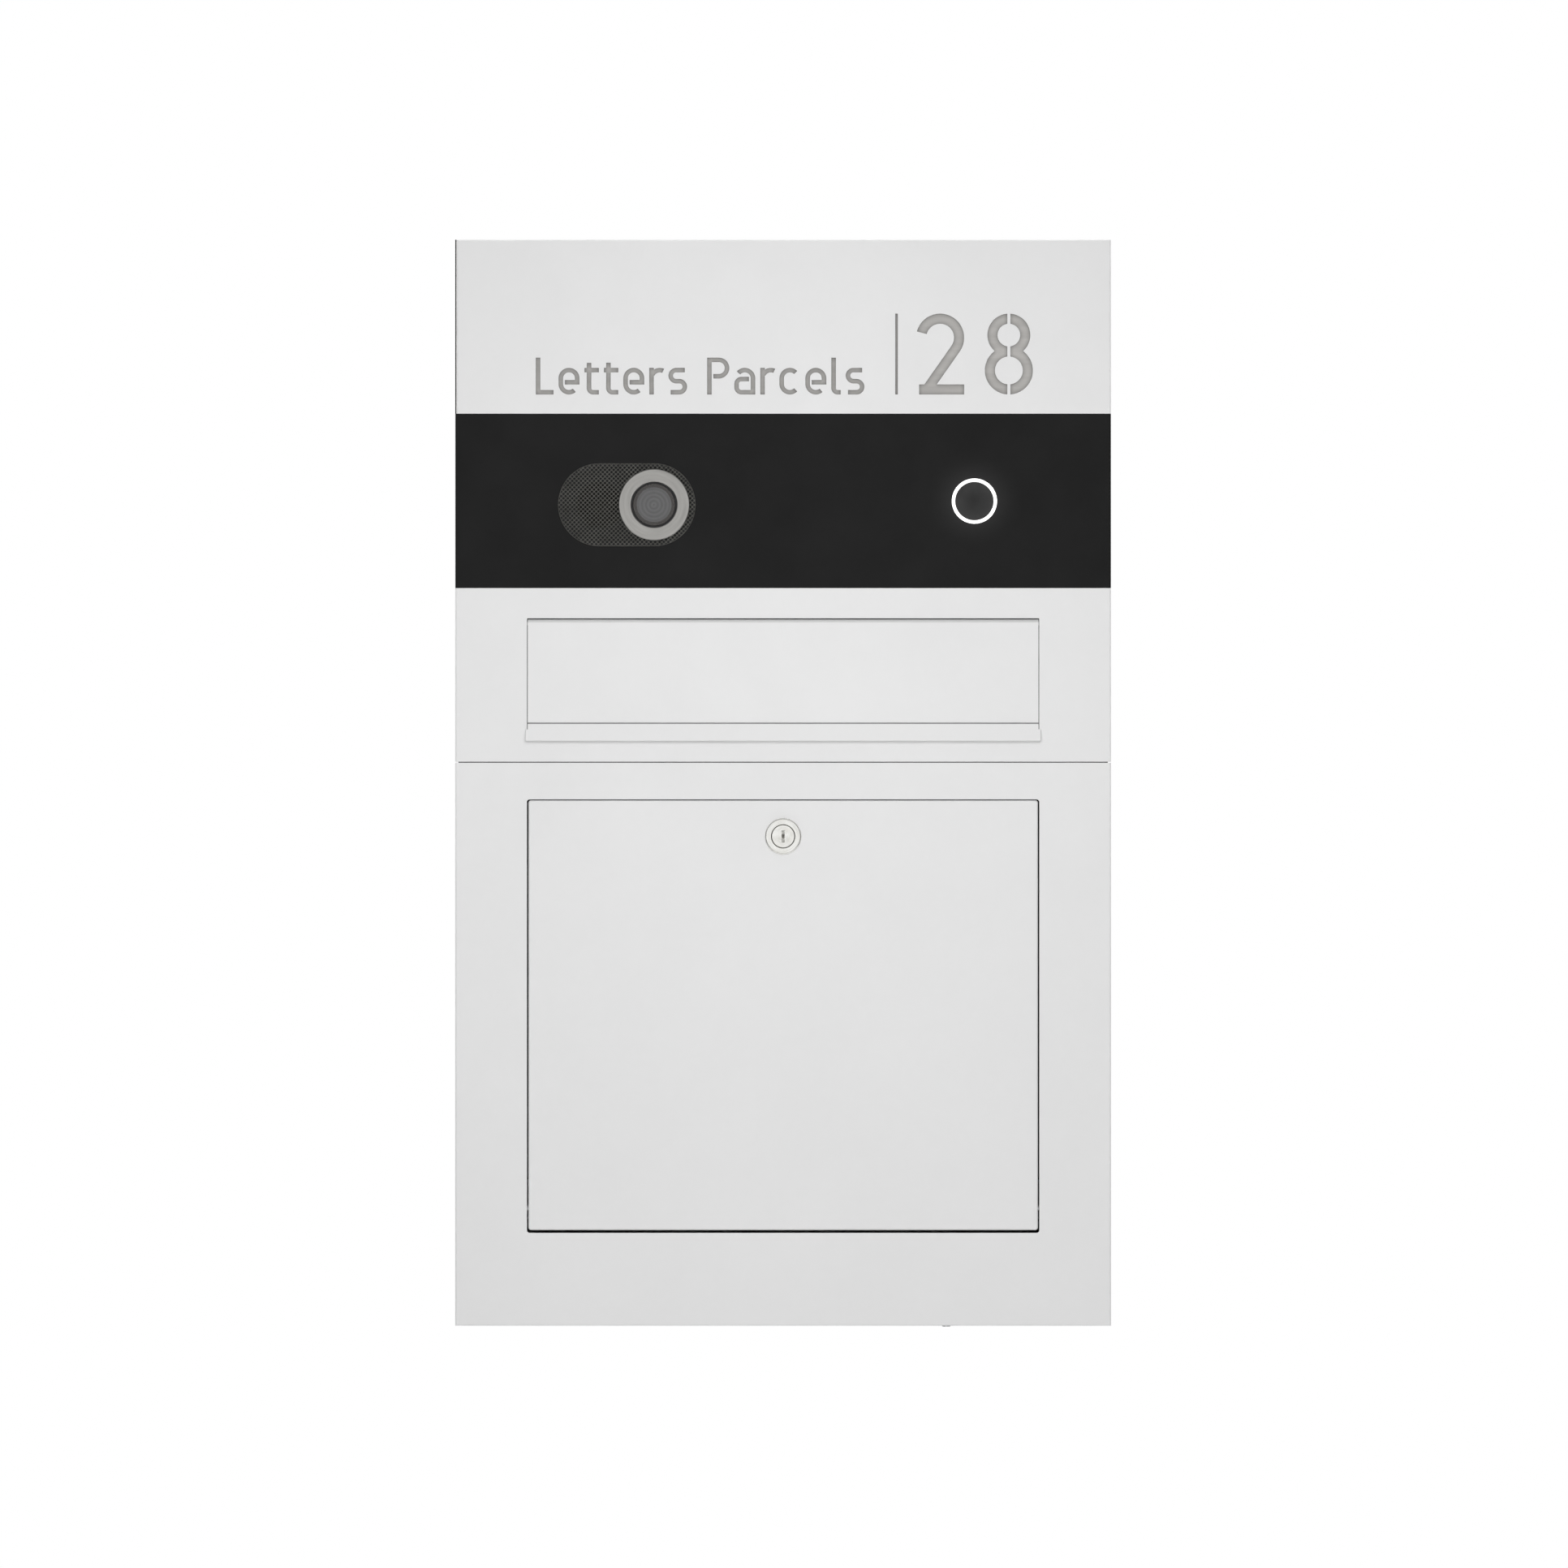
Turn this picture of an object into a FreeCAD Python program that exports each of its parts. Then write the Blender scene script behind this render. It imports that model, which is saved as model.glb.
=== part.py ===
"""In-wall letter and parcel box with a door station, as separate pieces in place.

Millimetres. X runs to the right as the front is seen, Y runs into the wall, Z is up.
The origin is the centre of the four wall fixings, on the outside of the casing's back.
"""

import FreeCAD
import Part

import math
import os

V = FreeCAD.Vector

# ---- front ----------------------------------------------------------------------------------
FRONT_W = 480.0  # width over the front
FRONT_H = 795.0  # height over the front
MODULE_H = 127.5  # height of each of the three upper fields
PROUD = 16.0  # how far the front stands off the wall
SHEET = 1.5  # front panels
FOLD_R = 1.4  # outside radius of a folded edge
SEAM = 0.7  # gap between the upper and the lower front
HAIRLINE = 0.2  # gap between two upper fields
LEFT_INSET = 0.8  # address plate stops short of the tray's left edge
SEAM_FOLD = 8.0  # depth of the folds along the inner seams
BACKING_T = 1.0  # steel sheet behind the cut-out letters
BACKING_EDGE = 3.0

# ---- casing in the wall ---------------------------------------------------------------------
CASE_SIDE = 34.0  # front's side to the casing's
CASE_END = 30.0  # front's end to the casing's
CASE_D = 220.0
CASE_T = 1.5
CASE_FLANGE = 12.0
FIX_SIDE = 56.0  # casing's side to the wall fixings
FIX_END = 67.5
FIX_R = 4.5
ANCHOR_W = 24.0
ANCHOR_OUT = 22.0
ANCHOR_FOOT = 26.0
ANCHOR_END = 117.5  # casing's end to the outer anchors
KNOCKOUT_R = 10.0
KNOCKOUT_X = 120.0
KNOCKOUT_LIP = 2.5
GLAND_X = -60.0
GLAND_AT = 90.0  # below the top of the front
GLAND_R = 8.0
GLAND_BORE = 4.0
GLAND_OUT = 15.0
GLAND_IN = 14.0
MAT_T = 3.0

# ---- mounting frame -------------------------------------------------------------------------
FRAME_T = 1.5
FRAME_SET = 10.0  # front face to the frame's plate
FRAME_EDGE = 2.0  # front's outline to the plate's outline
COLLAR_D = 50.0
COLLAR_PLAY = 1.0  # collar to casing, each side
BAY_SIDE = 45.0  # front's side to the opening behind the door station
BAY_TOP = 38.0
BAY_UP = 4.0  # that opening's lower edge above the flap's panel
GASKET_W = 7.0
CLAMP_END = 17.5  # door opening's upper edge to the first clamp screws
CLAMP_BACK = 14.0  # collar's rear edge to the clamp screws
CLAMP_R = 2.5
CLAMP_SLOT = 5.0
RIVNUT_R = 3.6
STUD_R = 2.0
STUD_CLEAR = 0.25
STUD_SIDE = 19.0  # side of the front to the studs
STUD_END = 18.0  # end of a panel to its studs
NUT_AF = 7.0
NUT_H = 3.0
SPACER_R = 4.0
FOOT_X = 119.5  # screw under the lower edge
FOOT_TAB = 20.0
FOOT_R = 1.5

# ---- letter flap ----------------------------------------------------------------------------
SLOT_DROP = 22.2  # top of the flap's panel to its opening
SLOT_H = 81.2
SLOT_SIDE = 52.6  # front's side to the opening
FLAP_GAP = 0.5  # sides and top of the flap
CREASE_UP = 4.6  # opening's lower edge to where the lip bends out
LIP_H = 12.9
LIP_SLOPE = 23.0  # degrees off the flap
CREASE_LINE = 0.9  # height of the scored groove along the bend
CREASE_DEEP = 1.0
LIP_OVER = 0.8  # lip beyond the opening, each side
LIP_CLEAR = 0.35  # panel to the back of the wide lip
KNUCKLE_R = 3.4
ROD_R = 1.25
RUN = 0.05  # radial clearance of every running fit
FLAP_BLOCK = 10.0
SLEEVE_AT = 7.0  # behind the front face
SLEEVE_D = 20.0
SLEEVE_SIDE = 6.9  # opening to the sleeve
SLEEVE_UP = 9.8
SLEEVE_DOWN = 9.9
SLEEVE_T = 1.2
SLOT_SEAL = 4.7
CHUTE_LAP = 7.0
CHUTE_REACH = 68.0
CHUTE_FALL = 34.0
SHELF_DROP = 7.0  # top of the flap's panel to the shelf
SHELF_D = 200.0
GUARD_AT = 60.0  # behind the front face
GUARD_LAP = 10.0
GUARD_REACH = 60.0
GUARD_FALL = 67.0

# ---- door -----------------------------------------------------------------------------------
DOOR_DROP = 26.9  # top of the lower front to the door opening
DOOR_SIDE = 52.5  # front's side to the opening
DOOR_FOOT = 68.0  # front's lower edge to the opening
CORNER_R = 2.0
DOOR_GAP = 1.0  # each side
DOOR_GAP_TOP = 0.65
DOOR_GAP_LOW = 2.0
DOOR_D = 20.0  # depth of the door's folds
LINER_AT = 17.0
LINER_T = 1.2
AXIS_UP = 16.0  # hinge axis above the door's lower edge
AXIS_IN = 6.0  # hinge axis behind the front face
PIN_R = 2.5
PIN_HEAD = 2.0
BLOCK_GAP = 1.5  # door's side to the hinge block
BLOCK_T = 7.0
BLOCK_H = 16.0
BLOCK_D = 7.8
STOP_R = 2.0  # stops that come up behind the frame when the door is down
STOP_BACK = 10.5  # from the hinge axis
STOP_DOWN = 8.0
STOP_OUT = 3.0
FRAME_LAP = 0.1  # frame's opening beyond the door opening
FRAME_LAP_LOW = 2.0
JAMB_SIDE = 2.5  # door opening to the jamb's web
JAMB_AT = 22.5  # front face to the jamb's ledge
LEDGE = 14.0  # how far the ledge covers the door's edge
LEDGE_UP = 20.0  # hinge axis to the foot of the ledges
SEAL_W = 8.0
SEAL_GAP = 0.3

# ---- lock -----------------------------------------------------------------------------------
LOCK_DROP = 27.0  # lock axis below the opening's upper edge
LOCK_HEAD_R = 13.3
LOCK_HEAD_T = 2.2
BARREL_R = 10.5
BARREL_D = 26.0
BARREL_CLEAR = 1.0  # barrel to the jamb's ledge
PLUG_R = 8.5
PLUG_SET = 0.4  # plug's face behind the head's
LOCK_EASE = 0.35
KEY_W = 2.2
KEY_H = 9.0
WASHER_T = 0.8
LOCK_NUT_AF = 27.0
LOCK_NUT_T = 5.0
SPINDLE = 6.0
CAM_GAP = 0.2
CAM_T = 2.5
CAM_REACH = 21.5
CAM_HALF = 7.0

# ---- door station ---------------------------------------------------------------------------
CAMERA_X = -94.4
CAMERA_DROP = 66.6  # top of the station's field to the camera's axis
STATION_PITCH = 40.0  # between the two round ends of the speaker field
MESH_R = 30.4
MESH_PLAY = 0.1
MESH_SET = 0.3
CARRIER_EDGE = 9.0
CARRIER_T = 4.0
CARRIER_FLOOR = 1.5
BEZEL_R = 25.95
BEZEL_BORE = 16.75
BEZEL_PROUD = 3.0
WINDOW_R = 15.5
WINDOW_T = 1.3
WINDOW_PROUD = 1.7
CAM_BODY_R = 12.0
LENS_R = 9.0
SPEAKER_R = 22.0
CONE_R = 17.0
BOARD_AT = 22.0
BOARD_T = 1.6
CASE_WALL = 2.0
STATION_D = 36.0
POST_R = 3.0
STATION_SCREW_R = 1.5
TERMINAL_W = 42.0
TERMINAL_H = 12.0
TERMINAL_D = 10.0
DUCT = 8.0
DUCT_T = 1.0
DUCT_AT = 15.0

# ---- bell -----------------------------------------------------------------------------------
BELL_X = 140.0
BELL_DROP = 63.9  # top of the station's field to the bell's axis
GLOW_R = 16.5
BELL_CAP_R = 14.1
BELL_CAP_T = 4.0
BELL_TRAVEL = 1.2
BELL_BOX = 36.0
BELL_SEAT = 3.0  # front face to the ring's seat
BELL_FLOOR = 9.0
BELL_FLOOR_T = 3.0
BELL_DEPTH = 24.0
STEM_R = 3.0
STEM_END = 14.0
SPRING_R = 5.2
SPRING_WIRE = 0.4
SPRING_TURNS = 4

# ---- lettering ------------------------------------------------------------------------------
TEXT = "Letters Parcels"
TEXT_UP = 14.1  # lower edge of the address plate to the baseline
TEXT_LEFT = -181.0
CAP_H = 27.0
X_H = 19.5
STROKE = 3.3
TRACK = 3.7
WORD_GAP = 11.0
BRIDGE = 1.3  # metal left between a counter and its surround
BOWL_R = 6.0
RULE_X = 83.0
RULE_W = 1.9
NUMBER_LEFT = 97.3
NUMBER_H = 59.2
NUMBER_W = 35.2
NUMBER_STROKE = 7.4
NUMBER_PITCH = 50.3
NUMBER_BRIDGE = 2.3

# ---- derived places -------------------------------------------------------------------------
F = -(CASE_D + PROUD)  # front face
HALF_W = FRONT_W / 2
HALF_H = FRONT_H / 2
PANEL_BACK = F + SHEET
FIELD = PANEL_BACK + BACKING_T  # tray's field behind the address plate
FRAME_Y = F + FRAME_SET
FRAME_BACK = FRAME_Y + FRAME_T
CASE_X = HALF_W - CASE_SIDE
CASE_Z = HALF_H - CASE_END
COLLAR_X = CASE_X - CASE_T - COLLAR_PLAY
COLLAR_Z = CASE_Z - CASE_T - COLLAR_PLAY
STUD_X = HALF_W - STUD_SIDE
STATION_TOP, FLAP_PANEL_TOP = MODULE_H, 2 * MODULE_H  # below the top of the front
LOWER_TOP = 3 * MODULE_H + SEAM / 2
SLOT_TOP = FLAP_PANEL_TOP + SLOT_DROP
SLOT_BOTTOM = SLOT_TOP + SLOT_H
SLOT_HALF = HALF_W - SLOT_SIDE
DOOR_TOP = LOWER_TOP + DOOR_DROP
DOOR_BOTTOM = FRONT_H - DOOR_FOOT
DOOR_AP_X = HALF_W - DOOR_SIDE


def below(distance):
    """Height of a point that far below the top of the front."""
    return HALF_H - distance


FLAP_HALF = SLOT_HALF - FLAP_GAP
FLAP_Y = F + KNUCKLE_R
FLAP_Z = below(SLOT_TOP + FLAP_GAP) - KNUCKLE_R
SLEEVE_X = SLOT_HALF - SLEEVE_SIDE
SLEEVE_Z1 = below(SLOT_TOP + SLEEVE_UP)
SLEEVE_Z0 = below(SLOT_BOTTOM - SLEEVE_DOWN)
SHELF_Z = below(FLAP_PANEL_TOP + SHELF_DROP)
DOOR_X = DOOR_AP_X - DOOR_GAP
DOOR_Z1 = below(DOOR_TOP + DOOR_GAP_TOP)
DOOR_Z0 = below(DOOR_BOTTOM - DOOR_GAP_LOW)
AXIS_Y = F + AXIS_IN
AXIS_Z = DOOR_Z0 + AXIS_UP
JAMB_X = DOOR_AP_X + JAMB_SIDE
JAMB_Z = below(DOOR_TOP) + JAMB_SIDE
JAMB_FOOT = AXIS_Z + LEDGE_UP
LOCK_Z = below(DOOR_TOP + LOCK_DROP)
CAM_Y = F + BARREL_D + CAM_GAP
CAMERA_Z = below(STATION_TOP + CAMERA_DROP)
SPEAKER_X = CAMERA_X - STATION_PITCH
STATION_EDGE = MESH_R + CARRIER_EDGE
BELL_Z = below(STATION_TOP + BELL_DROP)
GLAND_Z = below(GLAND_AT)
CLAMP_Y = FRAME_BACK + COLLAR_D - CLAMP_BACK
FOOT_Y = PANEL_BACK + SHEET + 2 * FOOT_R

nodes = {}


# ---- shapes ---------------------------------------------------------------------------------
def box(x0, x1, y0, y1, z0, z1):
    return Part.makeBox(x1 - x0, y1 - y0, z1 - z0, V(x0, y0, z0))


def block(half_w, y0, y1, z0, z1, x=0.0):
    """Box that is centred across."""
    return box(x - half_w, x + half_w, y0, y1, z0, z1)


def disc(r, y0, y1, x, z):
    """Cylinder along Y."""
    return Part.makeCylinder(r, y1 - y0, V(x, y0, z), V(0, 1, 0))


def cone(r0, r1, y0, y1, x, z):
    return Part.makeCone(r0, r1, y1 - y0, V(x, y0, z), V(0, 1, 0))


def pin_x(r, x0, x1, y, z):
    """Cylinder along X."""
    return Part.makeCylinder(r, x1 - x0, V(x0, y, z), V(1, 0, 0))


def pin_z(r, z0, z1, x, y):
    return Part.makeCylinder(r, z1 - z0, V(x, y, z0), V(0, 0, 1))


def hexagon(across, y0, y1, x, z):
    """Hexagonal prism along Y, that wide across its flats."""
    r = across / math.sqrt(3)
    angles = [math.radians(60 * i) for i in range(7)]
    outline = Part.makePolygon([V(x + r * math.cos(a), y0, z + r * math.sin(a)) for a in angles])
    return Part.Face(outline).extrude(V(0, y1 - y0, 0))


def bent_sheet(path, t, half_w):
    """Sheet that follows a path of (y, z) points, with its thickness on the path's left."""
    sides = []
    for (y0, z0), (y1, z1) in zip(path, path[1:]):
        run = math.hypot(y1 - y0, z1 - z0)
        sides.append(((z0 - z1) / run, (y1 - y0) / run))
    normals = [sides[0]]
    for (ay, az), (by, bz) in zip(sides, sides[1:]):
        share = 1 + ay * by + az * bz
        normals.append(((ay + by) / share, (az + bz) / share))
    normals.append(sides[-1])
    back = [(y + t * ny, z + t * nz) for (y, z), (ny, nz) in zip(path, normals)]
    outline = [V(-half_w, y, z) for y, z in path + back[::-1]]
    return Part.Face(Part.makePolygon(outline + outline[:1])).extrude(V(2 * half_w, 0, 0))


def round_plate(half_w, y0, y1, z0, z1, r):
    """Centred plate with round corners."""
    solid = block(half_w, y0, y1, z0, z1)
    return solid.makeFillet(r, [e for e in solid.Edges if abs(e.tangentAt(e.FirstParameter).y) > 0.99])


def stadium(r, y0, y1):
    """Plate with two round ends, about the speaker and about the camera."""
    a, b, z = SPEAKER_X, CAMERA_X, CAMERA_Z
    left = Part.Arc(V(a, y0, z + r), V(a - r, y0, z), V(a, y0, z - r)).toShape()
    right = Part.Arc(V(b, y0, z - r), V(b + r, y0, z), V(b, y0, z + r)).toShape()
    low = Part.makeLine(V(a, y0, z - r), V(b, y0, z - r))
    high = Part.makeLine(V(b, y0, z + r), V(a, y0, z + r))
    return Part.Face(Part.Wire([left, low, right, high])).extrude(V(0, y1 - y0, 0))


def fused(*shapes):
    return shapes[0].fuse(list(shapes[1:])).removeSplitter()


def mirrored(solid):
    """The solid and its mirror image across the middle plane."""
    return [solid, solid.mirror(V(0, 0, 0), V(1, 0, 0))]


def front_edges(solid, y):
    return [e for e in solid.Edges if all(abs(v.Y - y) < 1e-6 for v in e.Vertexes)]


def rims(solid, y):
    """Circles of a turned piece on one of its faces."""
    return [e for e in front_edges(solid, y) if isinstance(e.Curve, Part.Circle)]


def add(name, *shapes):
    """Keeps the shapes as one node of separate solids."""
    solids = [s for shape in shapes for s in shape.Solids]
    nodes[name] = solids[0] if len(solids) == 1 else Part.makeCompound(solids)


# ---- lettering: strokes with flat ends, in the plane of the front -----------------------------
def bar(x0, z0, x1, z1, width):
    along = V(x1 - x0, 0, z1 - z0).normalize()
    side = V(-along.z, 0, along.x) * (width / 2)
    a, b = V(x0, F, z0), V(x1, F, z1)
    return Part.Face(Part.makePolygon([a + side, b + side, b - side, a - side, a + side]))


def bend(x, z, r, start, end, width):
    """Part of a ring about (x, z), from one angle to another, in degrees."""

    def at(radius, angle):
        a = math.radians(angle)
        return V(x + radius * math.cos(a), F, z + radius * math.sin(a))

    far, near, mid = r + width / 2, r - width / 2, (start + end) / 2
    outside = Part.Arc(at(far, start), at(far, mid), at(far, end)).toShape()
    inside = Part.Arc(at(near, end), at(near, mid), at(near, start)).toShape()
    last = Part.makeLine(at(far, end), at(near, end))
    first = Part.makeLine(at(near, start), at(far, start))
    return Part.Face(Part.Wire([outside, last, inside, first]))


def glyph(letter, x, z):
    """Width and strokes of one letter. Counters keep a bridge to the sheet around them."""
    s, half, r = STROKE, STROKE / 2, BOWL_R
    left, mid, right = x + half, x + half + r, x + half + 2 * r
    foot, top, cap = z + half, z + X_H - half, z + CAP_H
    low, high = foot + r, top - r
    if letter == "L":
        w = CAP_H * 0.48
        return w, [bar(left, z, left, cap, s), bar(x + s, foot, x + w, foot, s)]
    if letter == "P":
        w, waist = CAP_H * 0.6, cap - half - 2 * r
        strokes = [bar(left, z, left, cap, s), bar(x + s, cap - half, x + w - half - r, cap - half, s)]
        strokes.append(bend(x + w - half - r, cap - half - r, r, -90, 90, s))
        return w, strokes + [bar(x + s + BRIDGE, waist, x + w - half - r, waist, s)]
    if letter == "e":
        cross = z + X_H * 0.46
        strokes = [bend(mid, high, r, 0, 180, s), bend(mid, low, r, 180, 310, s)]
        strokes += [bar(left, low, left, high, s), bar(right, cross - half, right, high, s)]
        return 2 * r + s, strokes + [bar(x + s + BRIDGE, cross, right - half, cross, s)]
    if letter == "c":
        strokes = [bend(mid, high, r, 45, 180, s), bend(mid, low, r, 180, 315, s)]
        return 2 * r + s, strokes + [bar(left, low, left, high, s)]
    if letter == "a":
        small, brow = r * 0.6, z + X_H * 0.58
        strokes = [bend(mid, high, r, 0, 140, s), bar(right, z, right, high, s)]
        strokes.append(bend(left + small, foot + small, small, 180, 270, s))
        strokes.append(bend(left + small, brow - small, small, 90, 180, s))
        strokes.append(bar(left, foot + small, left, brow - small, s))
        strokes.append(bar(left + small, foot, right - half, foot, s))
        return 2 * r + s, strokes + [bar(left + small, brow, right - half - BRIDGE, brow, s)]
    if letter == "r":
        return r + STROKE * 1.3, [bar(left, z, left, z + X_H, s), bend(left + r, high, r, 65, 155, s)]
    if letter == "s":
        w, turn = 2 * r + half, (X_H - s) / 4
        waist, near, far = z + X_H / 2, left + turn, x + w - half - turn
        strokes = [bend(near, waist + turn, turn, 90, 270, s), bend(far, waist - turn, turn, -90, 90, s)]
        strokes += [bar(near, waist, far, waist, s), bar(near, top, x + w - half, top, s)]
        return w, strokes + [bar(x + half, foot, far, foot, s)]
    stem, turn, w = (x + half, r / 2, r + half / 2) if letter == "l" else (x + s, r / 2, r * 1.75)
    rise = cap if letter == "l" else z + CAP_H * 0.86
    strokes = [bar(stem, foot + turn, stem, rise, s), bar(stem + turn, foot, x + w, foot, s)]
    strokes.append(bend(stem + turn, foot + turn, turn, 180, 270, s))
    return w, strokes if letter == "l" else strokes + [bar(x, top, x + w, top, s)]


def number_two(x, z):
    s, r = NUMBER_STROKE, (NUMBER_W - NUMBER_STROKE) / 2
    mid, centre, turn = x + NUMBER_W / 2, z + NUMBER_H - s / 2 - r, -35.0
    a = math.radians(turn)
    start_x, start_z = mid + r * math.cos(a), centre + r * math.sin(a)
    fall = (start_z - z - s / 2) / math.cos(a)
    end_x = start_x + fall * math.sin(a)
    strokes = [bend(mid, centre, r, turn, 165, s), bar(start_x, start_z, end_x, z + s / 2, s)]
    return strokes + [bar(x + s * 0.3, z + s / 2, x + NUMBER_W, z + s / 2, s)]


def number_eight(x, z):
    """Two rings, each split by the bridge that holds its counter."""
    s, low_r = NUMBER_STROKE, (NUMBER_W - NUMBER_STROKE) / 2
    high_r = (NUMBER_H - s) / 2 - low_r
    mid, strokes = x + NUMBER_W / 2, []
    for r, centre in ((low_r, z + s / 2 + low_r), (high_r, z + NUMBER_H - s / 2 - high_r)):
        strokes += [bend(mid, centre, r, -90, 90, s), bend(mid, centre, r, 90, 270, s)]
    return strokes


def through(face):
    """Cutter that reaches through the address plate on both sides."""
    return face.extrude(V(0, 2 * SHEET, 0)).translated(V(0, -SHEET / 2, 0))


def lettering():
    base, x, cutters = below(STATION_TOP - TEXT_UP), TEXT_LEFT, []
    for letter in TEXT:
        if letter == " ":
            x += WORD_GAP
            continue
        width, strokes = glyph(letter, x, base)
        cutters += [through(s) for s in strokes]
        x += width + TRACK
    cutters.append(through(bar(RULE_X, base, RULE_X, base + NUMBER_H, RULE_W)))
    cutters += [through(s) for s in number_two(NUMBER_LEFT, base)]
    eight = fused(*[through(s) for s in number_eight(NUMBER_LEFT + NUMBER_PITCH, base)])
    middle = NUMBER_LEFT + NUMBER_PITCH + NUMBER_W / 2
    bridge = block(NUMBER_BRIDGE / 2, F - SHEET, F + 2 * SHEET, base - SHEET, base + NUMBER_H + SHEET, middle)
    return cutters + eight.cut(bridge).Solids


# ---- casing in the wall ---------------------------------------------------------------------
def clamp_heights():
    """Clamp screws at the top, the middle and the foot of the door opening."""
    high = below(DOOR_TOP + CLAMP_END)
    low = below(DOOR_BOTTOM)
    return [high, (high + low) / 2, low]


def make_casing():
    x, z, rim_x, rim_z = CASE_X, CASE_Z, CASE_X + CASE_FLANGE, CASE_Z + CASE_FLANGE
    fix_x, fix_z = x - FIX_SIDE, z - FIX_END
    shell = block(x, -CASE_D, 0, -z, z)
    rim = block(rim_x, -CASE_D, -CASE_D + CASE_T, -rim_z, rim_z)
    add("plaster_rim", rim.cut(shell))
    cuts = [block(x - CASE_T, -CASE_D - 1, 1, -z + CASE_T, z - CASE_T)]
    cuts += mirrored(pin_z(KNOCKOUT_R, z - 2 * CASE_T, z + CASE_T, KNOCKOUT_X, -CASE_D / 2))
    for height in clamp_heights():
        cuts += mirrored(pin_x(RIVNUT_R, x - 2 * CASE_T, x + CASE_T, CLAMP_Y, height))
    add("casing_walls", shell.cut(cuts))

    back = block(x - CASE_T, -CASE_T, 0, -z + CASE_T, z - CASE_T)
    cuts = [disc(FIX_R, -2 * CASE_T, CASE_T, i * fix_x, k * fix_z) for i in (-1, 1) for k in (-1, 1)]
    cuts.append(disc(GLAND_R, -2 * CASE_T, CASE_T, GLAND_X, GLAND_Z))
    add("casing_back", back.cut(cuts))

    at, lip = (KNOCKOUT_X, -CASE_D / 2), KNOCKOUT_LIP
    neck = pin_z(KNOCKOUT_R, z - CASE_T, z, *at)
    head = pin_z(KNOCKOUT_R + lip, z, z + lip, *at)
    barb = pin_z(KNOCKOUT_R + lip / 2, z - CASE_T - lip, z - CASE_T, *at)
    add("blanking_plugs", *mirrored(fused(neck, head, barb)))
    floor = CASE_T - CASE_Z
    add("floor_mat", block(COLLAR_X - FRAME_T, FRAME_BACK + COLLAR_D + 2, -CASE_T - 2, floor, floor + MAT_T))


def make_anchors():
    """Lugs on the casing's sides that are bent out into the mortar."""
    x, y, half, lugs = CASE_X, -CASE_D / 2, ANCHOR_W / 2, []
    for z in (ANCHOR_END - CASE_Z, 0, CASE_Z - ANCHOR_END):
        foot = box(x, x + CASE_T, y - ANCHOR_FOOT, y, z - half, z + half)
        arm = box(x, x + ANCHOR_OUT, y, y + CASE_T, z - half, z + half)
        hook = box(x + ANCHOR_OUT - CASE_T, x + ANCHOR_OUT, y, y + ANCHOR_FOOT / 2, z - half, z + half)
        lugs += mirrored(fused(foot, arm, hook))
    add("plaster_anchors", *lugs)


def make_gland():
    """Cable entry: body with a dome outside the casing, and its nut inside."""
    flats, nut_t = 2.75 * GLAND_R, GLAND_IN - CASE_T - 6
    thread = disc(GLAND_R, -GLAND_IN, 0, GLAND_X, GLAND_Z)
    collar = hexagon(flats, 0, GLAND_OUT / 3, GLAND_X, GLAND_Z)
    dome = cone(flats / 2 - 1, flats / 3, GLAND_OUT / 3, GLAND_OUT, GLAND_X, GLAND_Z)
    bore = disc(GLAND_BORE, -GLAND_IN - 1, GLAND_OUT + 1, GLAND_X, GLAND_Z)
    nut = hexagon(flats, -CASE_T - nut_t, -CASE_T, GLAND_X, GLAND_Z)
    add("cable_gland", fused(thread, collar, dome).cut(bore), nut.cut(thread))


# ---- mounting frame and what fastens it --------------------------------------------------------
def stud_rows():
    """Heights of the stud rows on each panel: address plate, door station, flap and lower front."""
    rows = [[top + STUD_END, top + MODULE_H - STUD_END] for top in (0, STATION_TOP, FLAP_PANEL_TOP)]
    rows.append([LOWER_TOP + STUD_END, (LOWER_TOP + FRONT_H) / 2, FRONT_H - STUD_END])
    return [[below(d) for d in row] for row in rows]


def stud_holes(y0, y1, rows):
    return [disc(STUD_R + STUD_CLEAR, y0, y1, side * STUD_X, z) for z in rows for side in (-1, 1)]


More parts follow.
